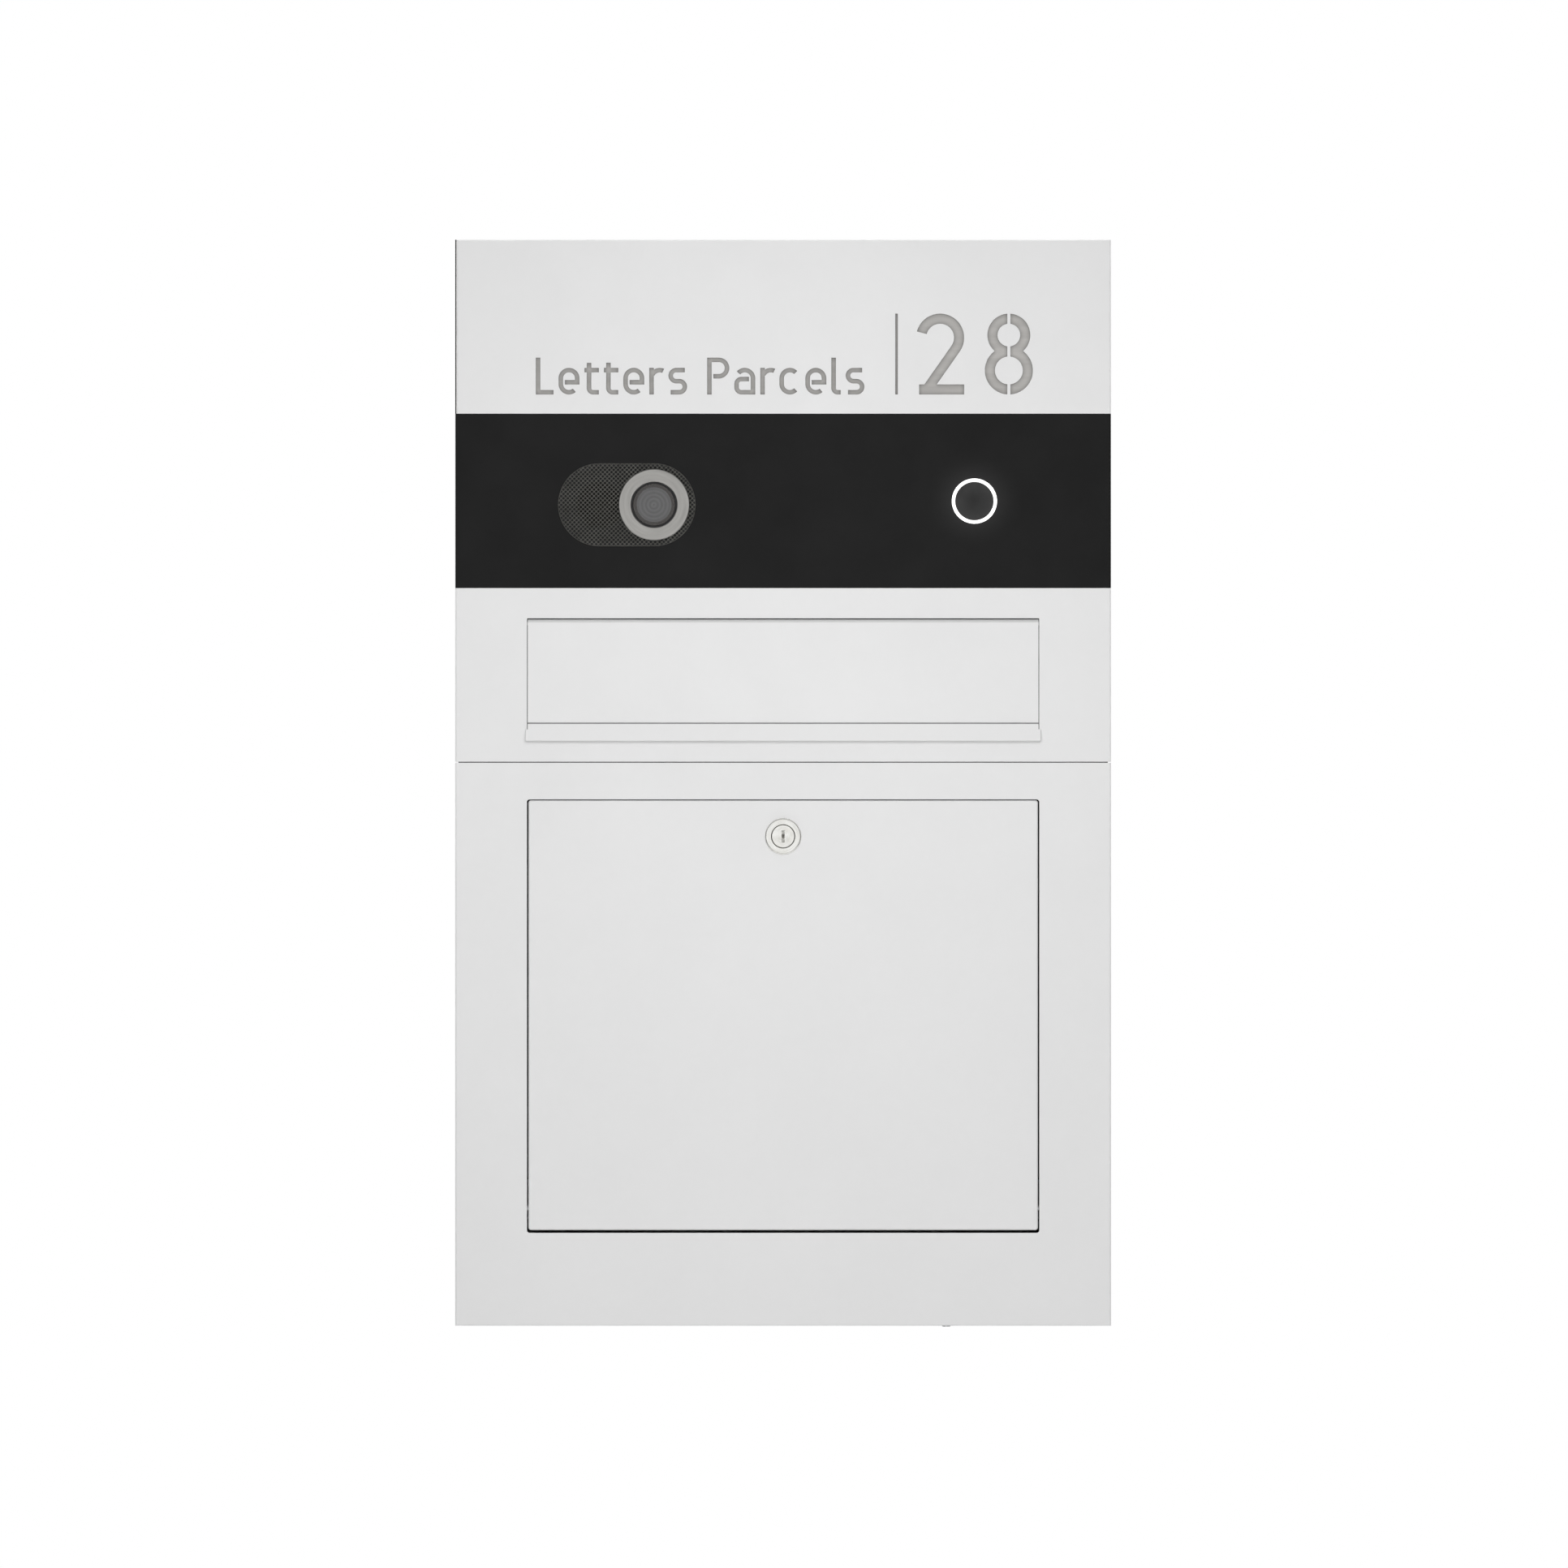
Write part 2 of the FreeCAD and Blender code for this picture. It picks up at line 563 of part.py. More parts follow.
def make_frame():
    x, z = HALF_W - FRAME_EDGE, HALF_H - FRAME_EDGE
    plate = block(x, FRAME_Y, FRAME_BACK, -z, z)
    collar = block(COLLAR_X, FRAME_BACK, FRAME_BACK + COLLAR_D, -COLLAR_Z, COLLAR_Z)
    inner_x, inner_z = COLLAR_X - FRAME_T, COLLAR_Z - FRAME_T
    hollow = block(inner_x, FRAME_BACK, FRAME_BACK + COLLAR_D + 1, -inner_z, inner_z)
    sill = SHEET - HALF_H
    foot = block(FOOT_TAB / 2, PANEL_BACK + SHEET, FRAME_BACK, sill, sill + FRAME_T, FOOT_X)
    root = block(FOOT_TAB / 2, FRAME_Y, FRAME_BACK, sill, FRAME_T - z, FOOT_X)
    ends = (FRAME_Y - 1, FRAME_BACK + 1)
    cuts = [block(HALF_W - BAY_SIDE, *ends, below(FLAP_PANEL_TOP - BAY_UP), below(BAY_TOP))]
    cuts.append(block(SLEEVE_X, *ends, SLEEVE_Z0, SLEEVE_Z1))
    foot_z = below(DOOR_BOTTOM + FRAME_LAP_LOW)
    cuts.append(block(DOOR_AP_X + FRAME_LAP, *ends, foot_z, below(DOOR_TOP) + FRAME_LAP))
    cuts += stud_holes(*ends, sum(stud_rows(), []))
    cuts.append(pin_z(FOOT_R, -HALF_H, sill + FRAME_T, FOOT_X, FOOT_Y))
    y0, y1, slots = CLAMP_Y - CLAMP_R - STUD_CLEAR, CLAMP_Y + CLAMP_R + STUD_CLEAR, []
    for height in clamp_heights():
        slots += mirrored(box(inner_x - 1, COLLAR_X + 1, y0, y1, height - CLAMP_SLOT, height + CLAMP_SLOT))
    add("mounting_plate", fused(plate, foot, root).cut(cuts))
    add("frame_collar", collar.cut([hollow] + slots))

    outer_x, outer_z = x - STUD_CLEAR * 4, z - STUD_CLEAR * 4
    strip = block(outer_x, FRAME_BACK, F + PROUD, -outer_z, outer_z)
    inside = block(outer_x - GASKET_W, FRAME_Y, 0, -outer_z + GASKET_W, outer_z - GASKET_W)
    add("wall_gasket", strip.cut(inside))


def make_clamps():
    """Screws that pull the collar into line, in rivet nuts in the casing's sides."""
    wall, inner, screws, nuts = CASE_X - CASE_T, COLLAR_X - FRAME_T, [], []
    lip = COLLAR_PLAY - COLLAR_PLAY / 5
    reach = wall + 3 * RIVNUT_R
    for z in clamp_heights():
        head = pin_x(CLAMP_SLOT + 1, inner - CLAMP_R, inner, CLAMP_Y, z)
        socket = pin_x(CLAMP_R / 2, inner - CLAMP_R - 1, inner - CLAMP_R / 2, CLAMP_Y, z)
        shank = pin_x(CLAMP_R, inner, reach - 1, CLAMP_Y, z)
        screws += mirrored(fused(head, shank).cut(socket))
        flange = pin_x(RIVNUT_R * 1.5, wall - lip, wall, CLAMP_Y, z)
        body = pin_x(RIVNUT_R, wall, reach, CLAMP_Y, z)
        nuts += mirrored(fused(flange, body).cut(pin_x(CLAMP_R, inner, reach + 1, CLAMP_Y, z)))
    add("clamp_screws", *screws)
    add("rivet_nuts", *nuts)


def make_studs():
    """Weld studs on the panels' backs, with the spacers and nuts that hold each to the frame."""
    studs, spacers, nuts = [], [], []
    for i, rows in enumerate(stud_rows()):
        seat = FIELD + SHEET if i == 0 else PANEL_BACK
        for z in rows:
            for x in (-STUD_X, STUD_X):
                studs.append(disc(STUD_R, PANEL_BACK, FRAME_BACK + NUT_H + STUD_R / 2, x, z))
                tube = disc(SPACER_R, seat, FRAME_Y, x, z)
                spacers.append(tube.cut(disc(STUD_R + STUD_CLEAR, seat - 1, FRAME_Y + 1, x, z)))
                nut = hexagon(NUT_AF, FRAME_BACK, FRAME_BACK + NUT_H, x, z)
                nuts.append(nut.cut(disc(STUD_R, FRAME_Y, 0, x, z)))
    add("panel_studs", *studs)
    add("panel_spacers", *spacers)
    add("panel_nuts", *nuts)
    head = pin_z(2 * FOOT_R, -HALF_H - FOOT_R / 2, -HALF_H, FOOT_X, FOOT_Y)
    add("foot_screw", fused(head, pin_z(FOOT_R, -HALF_H, -HALF_H + 4 * FOOT_R, FOOT_X, FOOT_Y)))


# ---- front panels -----------------------------------------------------------------------------
def folded_panel(z0, z1, low_fold, high_fold):
    """Front sheet with folds to the wall at its sides, and folds of their own depth above and below."""
    sheet = block(HALF_W, F, F + PROUD, z0, z1)
    outer = [e for e in front_edges(sheet, F) if abs(e.CenterOfMass.x) > HALF_W - 1]
    if low_fold == PROUD:
        outer += [e for e in front_edges(sheet, F) if abs(e.CenterOfMass.z - z0) < 1e-6]
    inner_x = HALF_W - SHEET
    cuts = [block(inner_x, PANEL_BACK, F + PROUD + 1, z0 + SHEET, z1 - SHEET)]
    cuts.append(block(inner_x, F + low_fold, F + PROUD + 1, z0 - 1, z0 + SHEET))
    cuts.append(block(inner_x, F + high_fold, F + PROUD + 1, z1 - SHEET, z1 + 1))
    return sheet.makeFillet(FOLD_R, outer).cut(cuts)


def make_address_plate():
    """White plate with the lettering cut out, over a sheet of brushed steel."""
    z0, z1 = below(STATION_TOP) + HAIRLINE / 2, HALF_H
    plate = box(LEFT_INSET - HALF_W, HALF_W, F, PANEL_BACK, z0, z1)
    rounded = [e for e in front_edges(plate, F) if abs(e.CenterOfMass.z - z0) > 1]
    add("address_plate", plate.makeFillet(min(FOLD_R, SHEET - 0.1), rounded).cut(lettering()))
    x, edge = HALF_W - SHEET - BACKING_EDGE, BACKING_EDGE
    backing = block(x, PANEL_BACK, FIELD, z0 + edge, z1 - SHEET - edge)
    add("letter_backing", backing.cut(stud_holes(F, FIELD + 1, stud_rows()[0])))


def make_station_tray():
    """Dark tray: its upper field carries the address plate, its lower field is the station's front."""
    z0, step, z1 = below(FLAP_PANEL_TOP) + HAIRLINE / 2, below(STATION_TOP) - HAIRLINE / 2, HALF_H
    tray = folded_panel(z0, z1, SEAM_FOLD, PROUD)
    plate_room = block(HALF_W + 1, F - 1, PANEL_BACK, step, z1 + 1)
    field = block(HALF_W - SHEET, FIELD, FIELD + SHEET, step - SHEET, z1 - SHEET)
    web = block(HALF_W - SHEET, PANEL_BACK, FIELD, step - SHEET, step)
    cuts = [stadium(MESH_R + MESH_PLAY, F - 1, PANEL_BACK + 1)]
    cuts.append(disc(GLOW_R + RUN, F - 1, PANEL_BACK + 1, BELL_X, BELL_Z))
    cuts += stud_holes(PANEL_BACK, FIELD + SHEET + 1, stud_rows()[0])
    add("station_tray", fused(tray.cut(plate_room), field, web).cut(cuts))


def make_flap_panel():
    z1 = below(FLAP_PANEL_TOP) - HAIRLINE / 2
    panel = folded_panel(below(LOWER_TOP - SEAM), z1, SEAM_FOLD, SEAM_FOLD)
    slot = block(SLOT_HALF, F - 1, F + PROUD, below(SLOT_BOTTOM), below(SLOT_TOP))
    add("flap_panel", panel.cut(slot))


def make_lower_front():
    panel = folded_panel(-HALF_H, below(LOWER_TOP), PROUD, SEAM_FOLD)
    opening = round_plate(DOOR_AP_X, F - 1, F + PROUD, below(DOOR_BOTTOM), below(DOOR_TOP), CORNER_R)
    screw = pin_z(FOOT_R, -HALF_H - 1, SHEET - HALF_H + 1, FOOT_X, FOOT_Y)
    add("lower_front", panel.cut([opening, screw]))


# ---- letter slot ------------------------------------------------------------------------------
def make_flap():
    """Sheet flap, rolled round its rod at the top, with a lip that is bent out at the bottom."""
    crease, tilt = below(SLOT_BOTTOM - CREASE_UP), math.tan(math.radians(LIP_SLOPE))
    tip = (F - LIP_H * tilt, crease - LIP_H)
    leaf = bent_sheet([(F, FLAP_Z), (F, crease), tip], SHEET, FLAP_HALF)
    wide_half = SLOT_HALF + LIP_OVER
    lip = bent_sheet([(F, crease), tip], SHEET, wide_half)
    clear_at = crease - (SHEET / math.cos(math.radians(LIP_SLOPE)) + LIP_CLEAR) / tilt
    lip = lip.common(block(wide_half + 1, F - LIP_H, F + SHEET, crease - 2 * LIP_H, clear_at))
    roll = pin_x(KNUCKLE_R, -FLAP_HALF, FLAP_HALF, FLAP_Y, FLAP_Z)
    bore = pin_x(KNUCKLE_R - SHEET, -FLAP_HALF - 1, FLAP_HALF + 1, FLAP_Y, FLAP_Z)
    line = CREASE_LINE / 2
    groove = block(wide_half + 1, F - 1, F + CREASE_DEEP, crease - line, crease + line)
    add("flap_leaf", fused(leaf, lip, roll).cut([bore, groove]))

    end = SLOT_HALF + FLAP_BLOCK
    body = pin_x(KNUCKLE_R - SHEET, -FLAP_HALF, FLAP_HALF, FLAP_Y, FLAP_Z)
    add("flap_rod", fused(body, pin_x(ROD_R, -end, end, FLAP_Y, FLAP_Z)))
    z0, z1 = FLAP_Z - FLAP_BLOCK / 2, FLAP_Z + FLAP_BLOCK / 2
    holder = box(SLOT_HALF + 1, end + 2, PANEL_BACK, FRAME_Y, z0, z1)
    add("flap_hinge_blocks", *mirrored(holder.cut(pin_x(ROD_R + RUN, 0, end + RUN, FLAP_Y, FLAP_Z))))


def make_sleeve():
    """Sheet throat behind the flap, with a rubber edge that the flap closes on, and the mail chute."""
    x, y, t = SLEEVE_X, F + SLEEVE_AT, SLEEVE_T
    back = y + SLEEVE_D
    throat = block(x, y, back, SLEEVE_Z0, SLEEVE_Z1)
    add("letter_sleeve", throat.cut(block(x - t, y - 1, back + 1, SLEEVE_Z0 + t, SLEEVE_Z1 - t)))
    lap = SHEET / 2
    rim = block(x + lap, y - SLOT_SEAL, y, SLEEVE_Z0 - lap, SLEEVE_Z1 + lap)
    edge = t + lap
    add("slot_seal", rim.cut(block(x - edge, y - 9, y + 1, SLEEVE_Z0 + edge, SLEEVE_Z1 - edge)))
    end = (back + CHUTE_REACH, SLEEVE_Z0 - CHUTE_FALL)
    path = [end, (back, SLEEVE_Z0), (back - CHUTE_LAP, SLEEVE_Z0)]
    add("mail_chute", bent_sheet(path, t, x))


def make_divider():
    """Shelf between the door station and the mail, with a sheet that keeps hands off the mail."""
    x = COLLAR_X - FRAME_T
    add("divider_shelf", block(x, FRAME_BACK, FRAME_BACK + SHELF_D, SHELF_Z - SLEEVE_T, SHELF_Z))
    y, z = F + GUARD_AT, SHELF_Z - SLEEVE_T
    path = [(y + GUARD_REACH, z - GUARD_FALL), (y, z), (y - GUARD_LAP, z)]
    add("fishing_guard", bent_sheet(path, SLEEVE_T, x - 2))


# ---- door -------------------------------------------------------------------------------------
def make_door():
    tray = round_plate(DOOR_X, F, F + DOOR_D, DOOR_Z0, DOOR_Z1, CORNER_R)
    tray = tray.makeFillet(FOLD_R, front_edges(tray, F))
    inner_x = DOOR_X - SHEET
    low, high, corner = DOOR_Z0 + SHEET, DOOR_Z1 - SHEET, CORNER_R - SHEET
    hollow = round_plate(inner_x, PANEL_BACK, F + DOOR_D + 1, low, high, corner)
    cuts = [hollow, disc(BARREL_R, F - 1, PANEL_BACK + 1, 0, LOCK_Z)]
    pin = pin_x(PIN_R, inner_x - PIN_HEAD, DOOR_X + BLOCK_GAP + BLOCK_T - 1, AXIS_Y, AXIS_Z)
    stop = pin_x(STOP_R, inner_x, DOOR_X + STOP_OUT, AXIS_Y + STOP_BACK, AXIS_Z - STOP_DOWN)
    add("door_leaf", tray.cut(cuts + mirrored(pin) + mirrored(stop)))
    head = pin_x(PIN_R + 1.5, inner_x - PIN_HEAD, inner_x, AXIS_Y, AXIS_Z)
    add("hinge_pins", *mirrored(fused(pin, head)))
    add("door_stops", *mirrored(stop))
    liner = round_plate(inner_x, F + LINER_AT, F + LINER_AT + LINER_T, low, high, corner)
    add("door_liner", liner.cut(disc(BARREL_R + 1, F, 0, 0, LOCK_Z)))


def make_jamb():
    """Door's hinge blocks, and the angle behind the opening that it closes on."""
    near = DOOR_X + BLOCK_GAP
    holder = box(near, near + BLOCK_T, FRAME_Y - BLOCK_D, FRAME_Y, AXIS_Z - BLOCK_H / 2, AXIS_Z + BLOCK_H / 2)
    add("door_hinge_blocks", *mirrored(holder.cut(pin_x(PIN_R + RUN, 0, near + BLOCK_T + 1, AXIS_Y, AXIS_Z))))

    t, back = FRAME_T, F + JAMB_AT + FRAME_T
    outside = block(JAMB_X + t, FRAME_BACK, back, JAMB_FOOT, JAMB_Z + t)
    web = block(JAMB_X, FRAME_Y, F + JAMB_AT, JAMB_FOOT - 1, JAMB_Z)
    ledge_x, ledge_z = DOOR_X - LEDGE, DOOR_Z1 - LEDGE
    cuts = [web, block(ledge_x, F, 0, JAMB_FOOT - 1, ledge_z), disc(BARREL_R + BARREL_CLEAR, F, 0, 0, LOCK_Z)]
    add("door_jamb", outside.cut(cuts))
    strip = block(DOOR_X + SEAL_GAP, F + DOOR_D + SEAL_GAP, F + JAMB_AT, JAMB_FOOT, DOOR_Z1 + SEAL_GAP)
    inside = block(DOOR_X - SEAL_W, F, 0, JAMB_FOOT - 1, DOOR_Z1 - SEAL_W)
    add("door_seal", strip.cut(inside))


def make_lock():
    """Cam lock: its barrel is nutted to the door, and its plug turns the cam."""
    head = disc(LOCK_HEAD_R, F - LOCK_HEAD_T, F, 0, LOCK_Z)
    head = head.makeFillet(LOCK_HEAD_T / 2, rims(head, F - LOCK_HEAD_T))
    barrel = fused(head, disc(BARREL_R, F, F + BARREL_D, 0, LOCK_Z))
    front, bore = F - LOCK_HEAD_T, PLUG_R + RUN
    mouth = cone(bore + LOCK_EASE, bore, front, front + LOCK_EASE, 0, LOCK_Z)
    add("lock_barrel", barrel.cut([mouth, disc(bore, front - 1, F + BARREL_D + 1, 0, LOCK_Z)]))
    nut_y = PANEL_BACK + WASHER_T
    washer = disc(BARREL_R + 4, PANEL_BACK, nut_y, 0, LOCK_Z)
    add("lock_washer", washer.cut(disc(BARREL_R, F, 0, 0, LOCK_Z)))
    nut = hexagon(LOCK_NUT_AF, nut_y, nut_y + LOCK_NUT_T, 0, LOCK_Z)
    add("lock_nut", nut.cut(disc(BARREL_R, F, 0, 0, LOCK_Z)))

    back, half = F + BARREL_D, SPINDLE / 2
    plug = disc(PLUG_R, front + PLUG_SET, back, 0, LOCK_Z)
    plug = plug.makeChamfer(LOCK_EASE, rims(plug, front + PLUG_SET))
    square = block(half, back, CAM_Y + CAM_T, LOCK_Z - half, LOCK_Z + half)
    key = block(KEY_W / 2, front, back - CAM_T, LOCK_Z - KEY_H / 2, LOCK_Z + KEY_H / 2)
    screw = disc(FOOT_R, back - 1.5 * CAM_T, CAM_Y + CAM_T, 0, LOCK_Z)
    add("lock_plug", fused(plug, square).cut([key, screw]))
    cam = box(0, CAM_REACH, CAM_Y, CAM_Y + CAM_T, LOCK_Z - CAM_HALF, LOCK_Z + CAM_HALF)
    cam = fused(cam, disc(CAM_HALF, CAM_Y, CAM_Y + CAM_T, 0, LOCK_Z))
    add("lock_cam", cam.cut(block(half, CAM_Y - 1, CAM_Y + CAM_T + 1, LOCK_Z - half, LOCK_Z + half)))
    cap = disc(SPINDLE * 0.75, CAM_Y + CAM_T, CAM_Y + 2 * CAM_T, 0, LOCK_Z)
    add("cam_screw", fused(cap, screw))


# ---- door station -----------------------------------------------------------------------------
def make_camera():
    y, x, z = F + MESH_SET, CAMERA_X, CAMERA_Z
    ring = disc(BEZEL_R, F - BEZEL_PROUD, y, x, z).cut(disc(BEZEL_BORE, F - BEZEL_PROUD - 1, y + 1, x, z))
    add("camera_bezel", ring.makeChamfer(0.5, rims(ring, F - BEZEL_PROUD)))
    barrel_r, seat = BEZEL_BORE - MESH_PLAY, F - WINDOW_PROUD + WINDOW_T
    tube = disc(barrel_r, F - WINDOW_PROUD - SEAL_GAP, F + BOARD_AT - STEM_R * 3, x, z)
    rear = disc(CAM_BODY_R, F + BOARD_AT - STEM_R * 3, F + BOARD_AT, x, z)
    cuts = [disc(WINDOW_R, F - WINDOW_PROUD - 1, seat, x, z)]
    cuts.append(disc(WINDOW_R - 1, seat - 1, F + LENS_R + 2, x, z))
    add("camera_barrel", fused(tube, rear).cut(cuts))
    add("camera_window", disc(WINDOW_R, F - WINDOW_PROUD, seat, x, z))
    rings = [disc(r, F + LENS_R - h, F + LENS_R + 2, x, z) for r, h in ((LENS_R, 2), (LENS_R * 0.75, 3.5))]
    glass = Part.makeSphere(LENS_R * 0.6, V(x, F + LENS_R - 2, z))
    front = glass.common(disc(LENS_R, F, F + LENS_R, x, z))
    add("camera_lens", fused(*rings, front))


def make_station():
    """Speaker mesh, its carrier behind the tray, and the housing with its board."""
    seat, back = PANEL_BACK, PANEL_BACK + CARRIER_T
    x0, x1 = SPEAKER_X - STATION_EDGE, CAMERA_X + STATION_EDGE
    z0, z1 = CAMERA_Z - STATION_EDGE, CAMERA_Z + STATION_EDGE
    mesh = stadium(MESH_R, F + MESH_SET, seat)
    add("speaker_mesh", mesh.cut(disc(BEZEL_BORE, F, seat + 1, CAMERA_X, CAMERA_Z)))
    corner = CASE_WALL + POST_R * 0.6
    corners = [(x, z) for x in (x0 + corner, x1 - corner) for z in (z0 + corner, z1 - corner)]
    cuts = [stadium(MESH_R - CARRIER_T + CARRIER_FLOOR, seat - 1, back - CARRIER_FLOOR)]
    cuts.append(disc(BEZEL_BORE, seat, back + 1, CAMERA_X, CAMERA_Z))
    cuts.append(disc(CONE_R, seat, back + 1, SPEAKER_X, CAMERA_Z))
    cuts += [disc(STATION_SCREW_R, seat + CARRIER_FLOOR, back + 1, x, z) for x, z in corners]
    add("station_carrier", box(x0, x1, seat, back, z0, z1).cut(cuts))

    rear, w = F + STATION_D, CASE_WALL
    shell = box(x0, x1, back, rear, z0, z1).cut(box(x0 + w, x1 - w, back - 1, rear - w, z0 + w, z1 - w))
    bosses = [disc(POST_R, back, rear - w, x, z) for x, z in corners]
    board_y, board_back = F + BOARD_AT, F + BOARD_AT + BOARD_T
    inset = CASE_WALL + 2 * POST_R + 1
    spots = [(x, z) for x in (x0 + inset + POST_R, x1 - inset - POST_R) for z in (z0 + inset, z1 - inset)]
    posts = [disc(POST_R, board_back, rear - w, x, z) for x, z in spots]
    screws = [disc(STATION_SCREW_R, back - 1, rear + 1, x, z) for x, z in corners]
    add("station_case", fused(shell, *bosses, *posts).cut(screws))
    add("circuit_board", box(x0 + inset, x1 - inset, board_y, board_back, z0 + w + 1, z1 - w - 1))
    fixings = []
    for x, z in corners:
        head = disc(POST_R, rear, rear + STATION_SCREW_R, x, z)
        fixings.append(fused(head, disc(STATION_SCREW_R, seat + CARRIER_FLOOR, rear, x, z)))
    add("station_screws", *fixings)

    middle = (x0 + x1) / 2
    term = block(TERMINAL_W / 2, rear, rear + TERMINAL_D, z0 + TERMINAL_H, z0 + 2 * TERMINAL_H, middle)
    pitch, wells = TERMINAL_W / 6, []
    for i in range(6):
        x = middle - TERMINAL_W / 2 + (i + 0.5) * pitch
        wells.append(disc(pitch / 3, rear + TERMINAL_D / 2, rear + TERMINAL_D + 1, x, z0 + 1.5 * TERMINAL_H))
    add("terminal_block", term.cut(wells))


def make_speaker():
    y, x, z, depth = PANEL_BACK + CARRIER_T, SPEAKER_X, CAMERA_Z, BOARD_AT - SHEET - CARRIER_T - 2
    flange = disc(SPEAKER_R, y, y + SHEET, x, z)
    basket = cone(SPEAKER_R - 2, SPEAKER_R / 2, y + SHEET, y + depth / 2, x, z)
    magnet = disc(SPEAKER_R * 0.64, y + depth / 2, y + depth, x, z)
    outer = cone(CONE_R, CONE_R / 3, y, y + depth * 0.45, x, z)
    add("speaker_driver", fused(flange, basket, magnet).cut(outer))
    add("speaker_cone", outer.cut(cone(CONE_R, CONE_R / 3, y - 1, y + depth * 0.45 - 1, x, z)))


def make_bell():
    """Push button in a ring of light, on a spring, over a switch."""
    x, z, half = BELL_X, BELL_Z, BELL_BOX / 2
    seat, floor = F + BELL_SEAT, F + BELL_FLOOR
    ring = disc(GLOW_R, F - MESH_SET, seat, x, z)
    add("bell_light_ring", ring.cut(disc(BELL_CAP_R + RUN, F - 1, seat + 1, x, z)))
    body = block(half, PANEL_BACK, F + BELL_DEPTH, z - half, z + half, x)
    cuts = [disc(GLOW_R, F, seat, x, z), disc(BELL_CAP_R + RUN, F, floor, x, z)]
    cuts.append(disc(STEM_R + RUN, F, F + BELL_DEPTH, x, z))
    cuts.append(disc(BELL_CAP_R, floor + BELL_FLOOR_T, F + BELL_DEPTH + 1, x, z))
    add("bell_housing", body.cut(cuts))
    board = F + BELL_DEPTH
    circuit = block(half - 1, board, board + BOARD_T, z - half + 1, z + half - 1, x)
    body_t = BELL_DEPTH - STEM_END - 2 * BELL_TRAVEL - 1
    switch = block(2 * STEM_R, board - body_t, board, z - 2 * STEM_R, z + 2 * STEM_R, x)
    plunger = disc(STEM_R * 0.7, F + STEM_END + BELL_TRAVEL + 0.2, board - body_t, x, z)
    add("bell_switch", fused(switch, plunger), circuit)

    cap = disc(BELL_CAP_R, F, F + BELL_CAP_T, x, z)
    cap = cap.makeFillet(0.6, rims(cap, F))
    add("bell_cap", fused(cap, disc(STEM_R, F + BELL_CAP_T, F + STEM_END, x, z)))
    length = BELL_FLOOR - BELL_CAP_T - 2 * SPRING_WIRE
    helix = Part.makeHelix(length / SPRING_TURNS, length, SPRING_R)
    w = SPRING_WIRE
    corners = [V(SPRING_R + i * w, 0, k * w) for i, k in ((-1, -1), (1, -1), (1, 1), (-1, 1), (-1, -1))]
    section = Part.makePolygon(corners)
    coil = Part.Wire(helix.Edges).makePipeShell([section], True, True)
    coil.rotate(V(0, 0, 0), V(1, 0, 0), -90)
    add("bell_spring", coil.translated(V(x, F + BELL_CAP_T + SPRING_WIRE, z)))


def make_duct():
    """Cable duct from the bell to the station's housing."""
    x0, x1 = CAMERA_X + STATION_EDGE, BELL_X - BELL_BOX / 2
    y0, z0 = F + DUCT_AT, BELL_Z - DUCT / 2
    tube = box(x0, x1, y0, y0 + DUCT, z0, z0 + DUCT)
    hollow = box(x0 - 1, x1 + 1, y0 + DUCT_T, y0 + DUCT - DUCT_T, z0 + DUCT_T, z0 + DUCT - DUCT_T)
    add("cable_duct", tube.cut(hollow))


def main():
    for make in (make_casing, make_anchors, make_gland, make_frame, make_clamps, make_studs,
                 make_address_plate, make_station_tray, make_flap_panel, make_lower_front,
                 make_flap, make_sleeve, make_divider, make_door, make_jamb, make_lock,
                 make_camera, make_station, make_speaker, make_bell, make_duct):
        make()
    os.makedirs("parts", exist_ok=True)
    for name, shape in nodes.items():
        shape.exportStep("parts/" + name + ".step")


main()
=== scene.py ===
"""Looks of the in-wall letter and parcel box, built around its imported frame. Units are metres."""
import math

import bmesh
import bpy
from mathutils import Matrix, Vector

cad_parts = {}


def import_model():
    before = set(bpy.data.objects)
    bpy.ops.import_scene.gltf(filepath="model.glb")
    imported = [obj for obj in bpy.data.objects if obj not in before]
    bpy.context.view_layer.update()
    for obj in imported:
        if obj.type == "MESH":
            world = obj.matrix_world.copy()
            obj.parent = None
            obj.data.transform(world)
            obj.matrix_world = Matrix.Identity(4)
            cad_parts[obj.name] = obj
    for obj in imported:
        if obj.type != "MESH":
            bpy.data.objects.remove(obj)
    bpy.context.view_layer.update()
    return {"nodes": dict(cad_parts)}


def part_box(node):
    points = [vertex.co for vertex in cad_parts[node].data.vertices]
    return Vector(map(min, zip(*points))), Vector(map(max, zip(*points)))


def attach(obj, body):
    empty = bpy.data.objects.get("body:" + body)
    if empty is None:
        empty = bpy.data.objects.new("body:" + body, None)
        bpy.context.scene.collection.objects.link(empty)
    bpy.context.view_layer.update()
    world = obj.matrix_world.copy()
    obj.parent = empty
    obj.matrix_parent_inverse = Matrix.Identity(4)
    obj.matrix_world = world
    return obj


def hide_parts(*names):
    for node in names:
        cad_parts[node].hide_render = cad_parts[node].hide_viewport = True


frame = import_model()

MM = 0.001

# Camera: level, square to the front, from far enough away that nothing converges.
CAMERA_AWAY = 6.0  # to the front faces
SENSOR = 36.0  # mm
VIEW_WIDTH = 1.1475  # what the picture spans at the front faces
AIM_X, AIM_Z = 0.00065, -0.00095

# Floor
FLOOR_Z = -1.0
FLOOR_R = 1.7

# Studio light
WORLD_BASE = 0.16
WORLD_FRONT = 0.90  # added straight in front
WORLD_TOP = 0.28  # added straight above
WORLD_SPREAD = 12.0

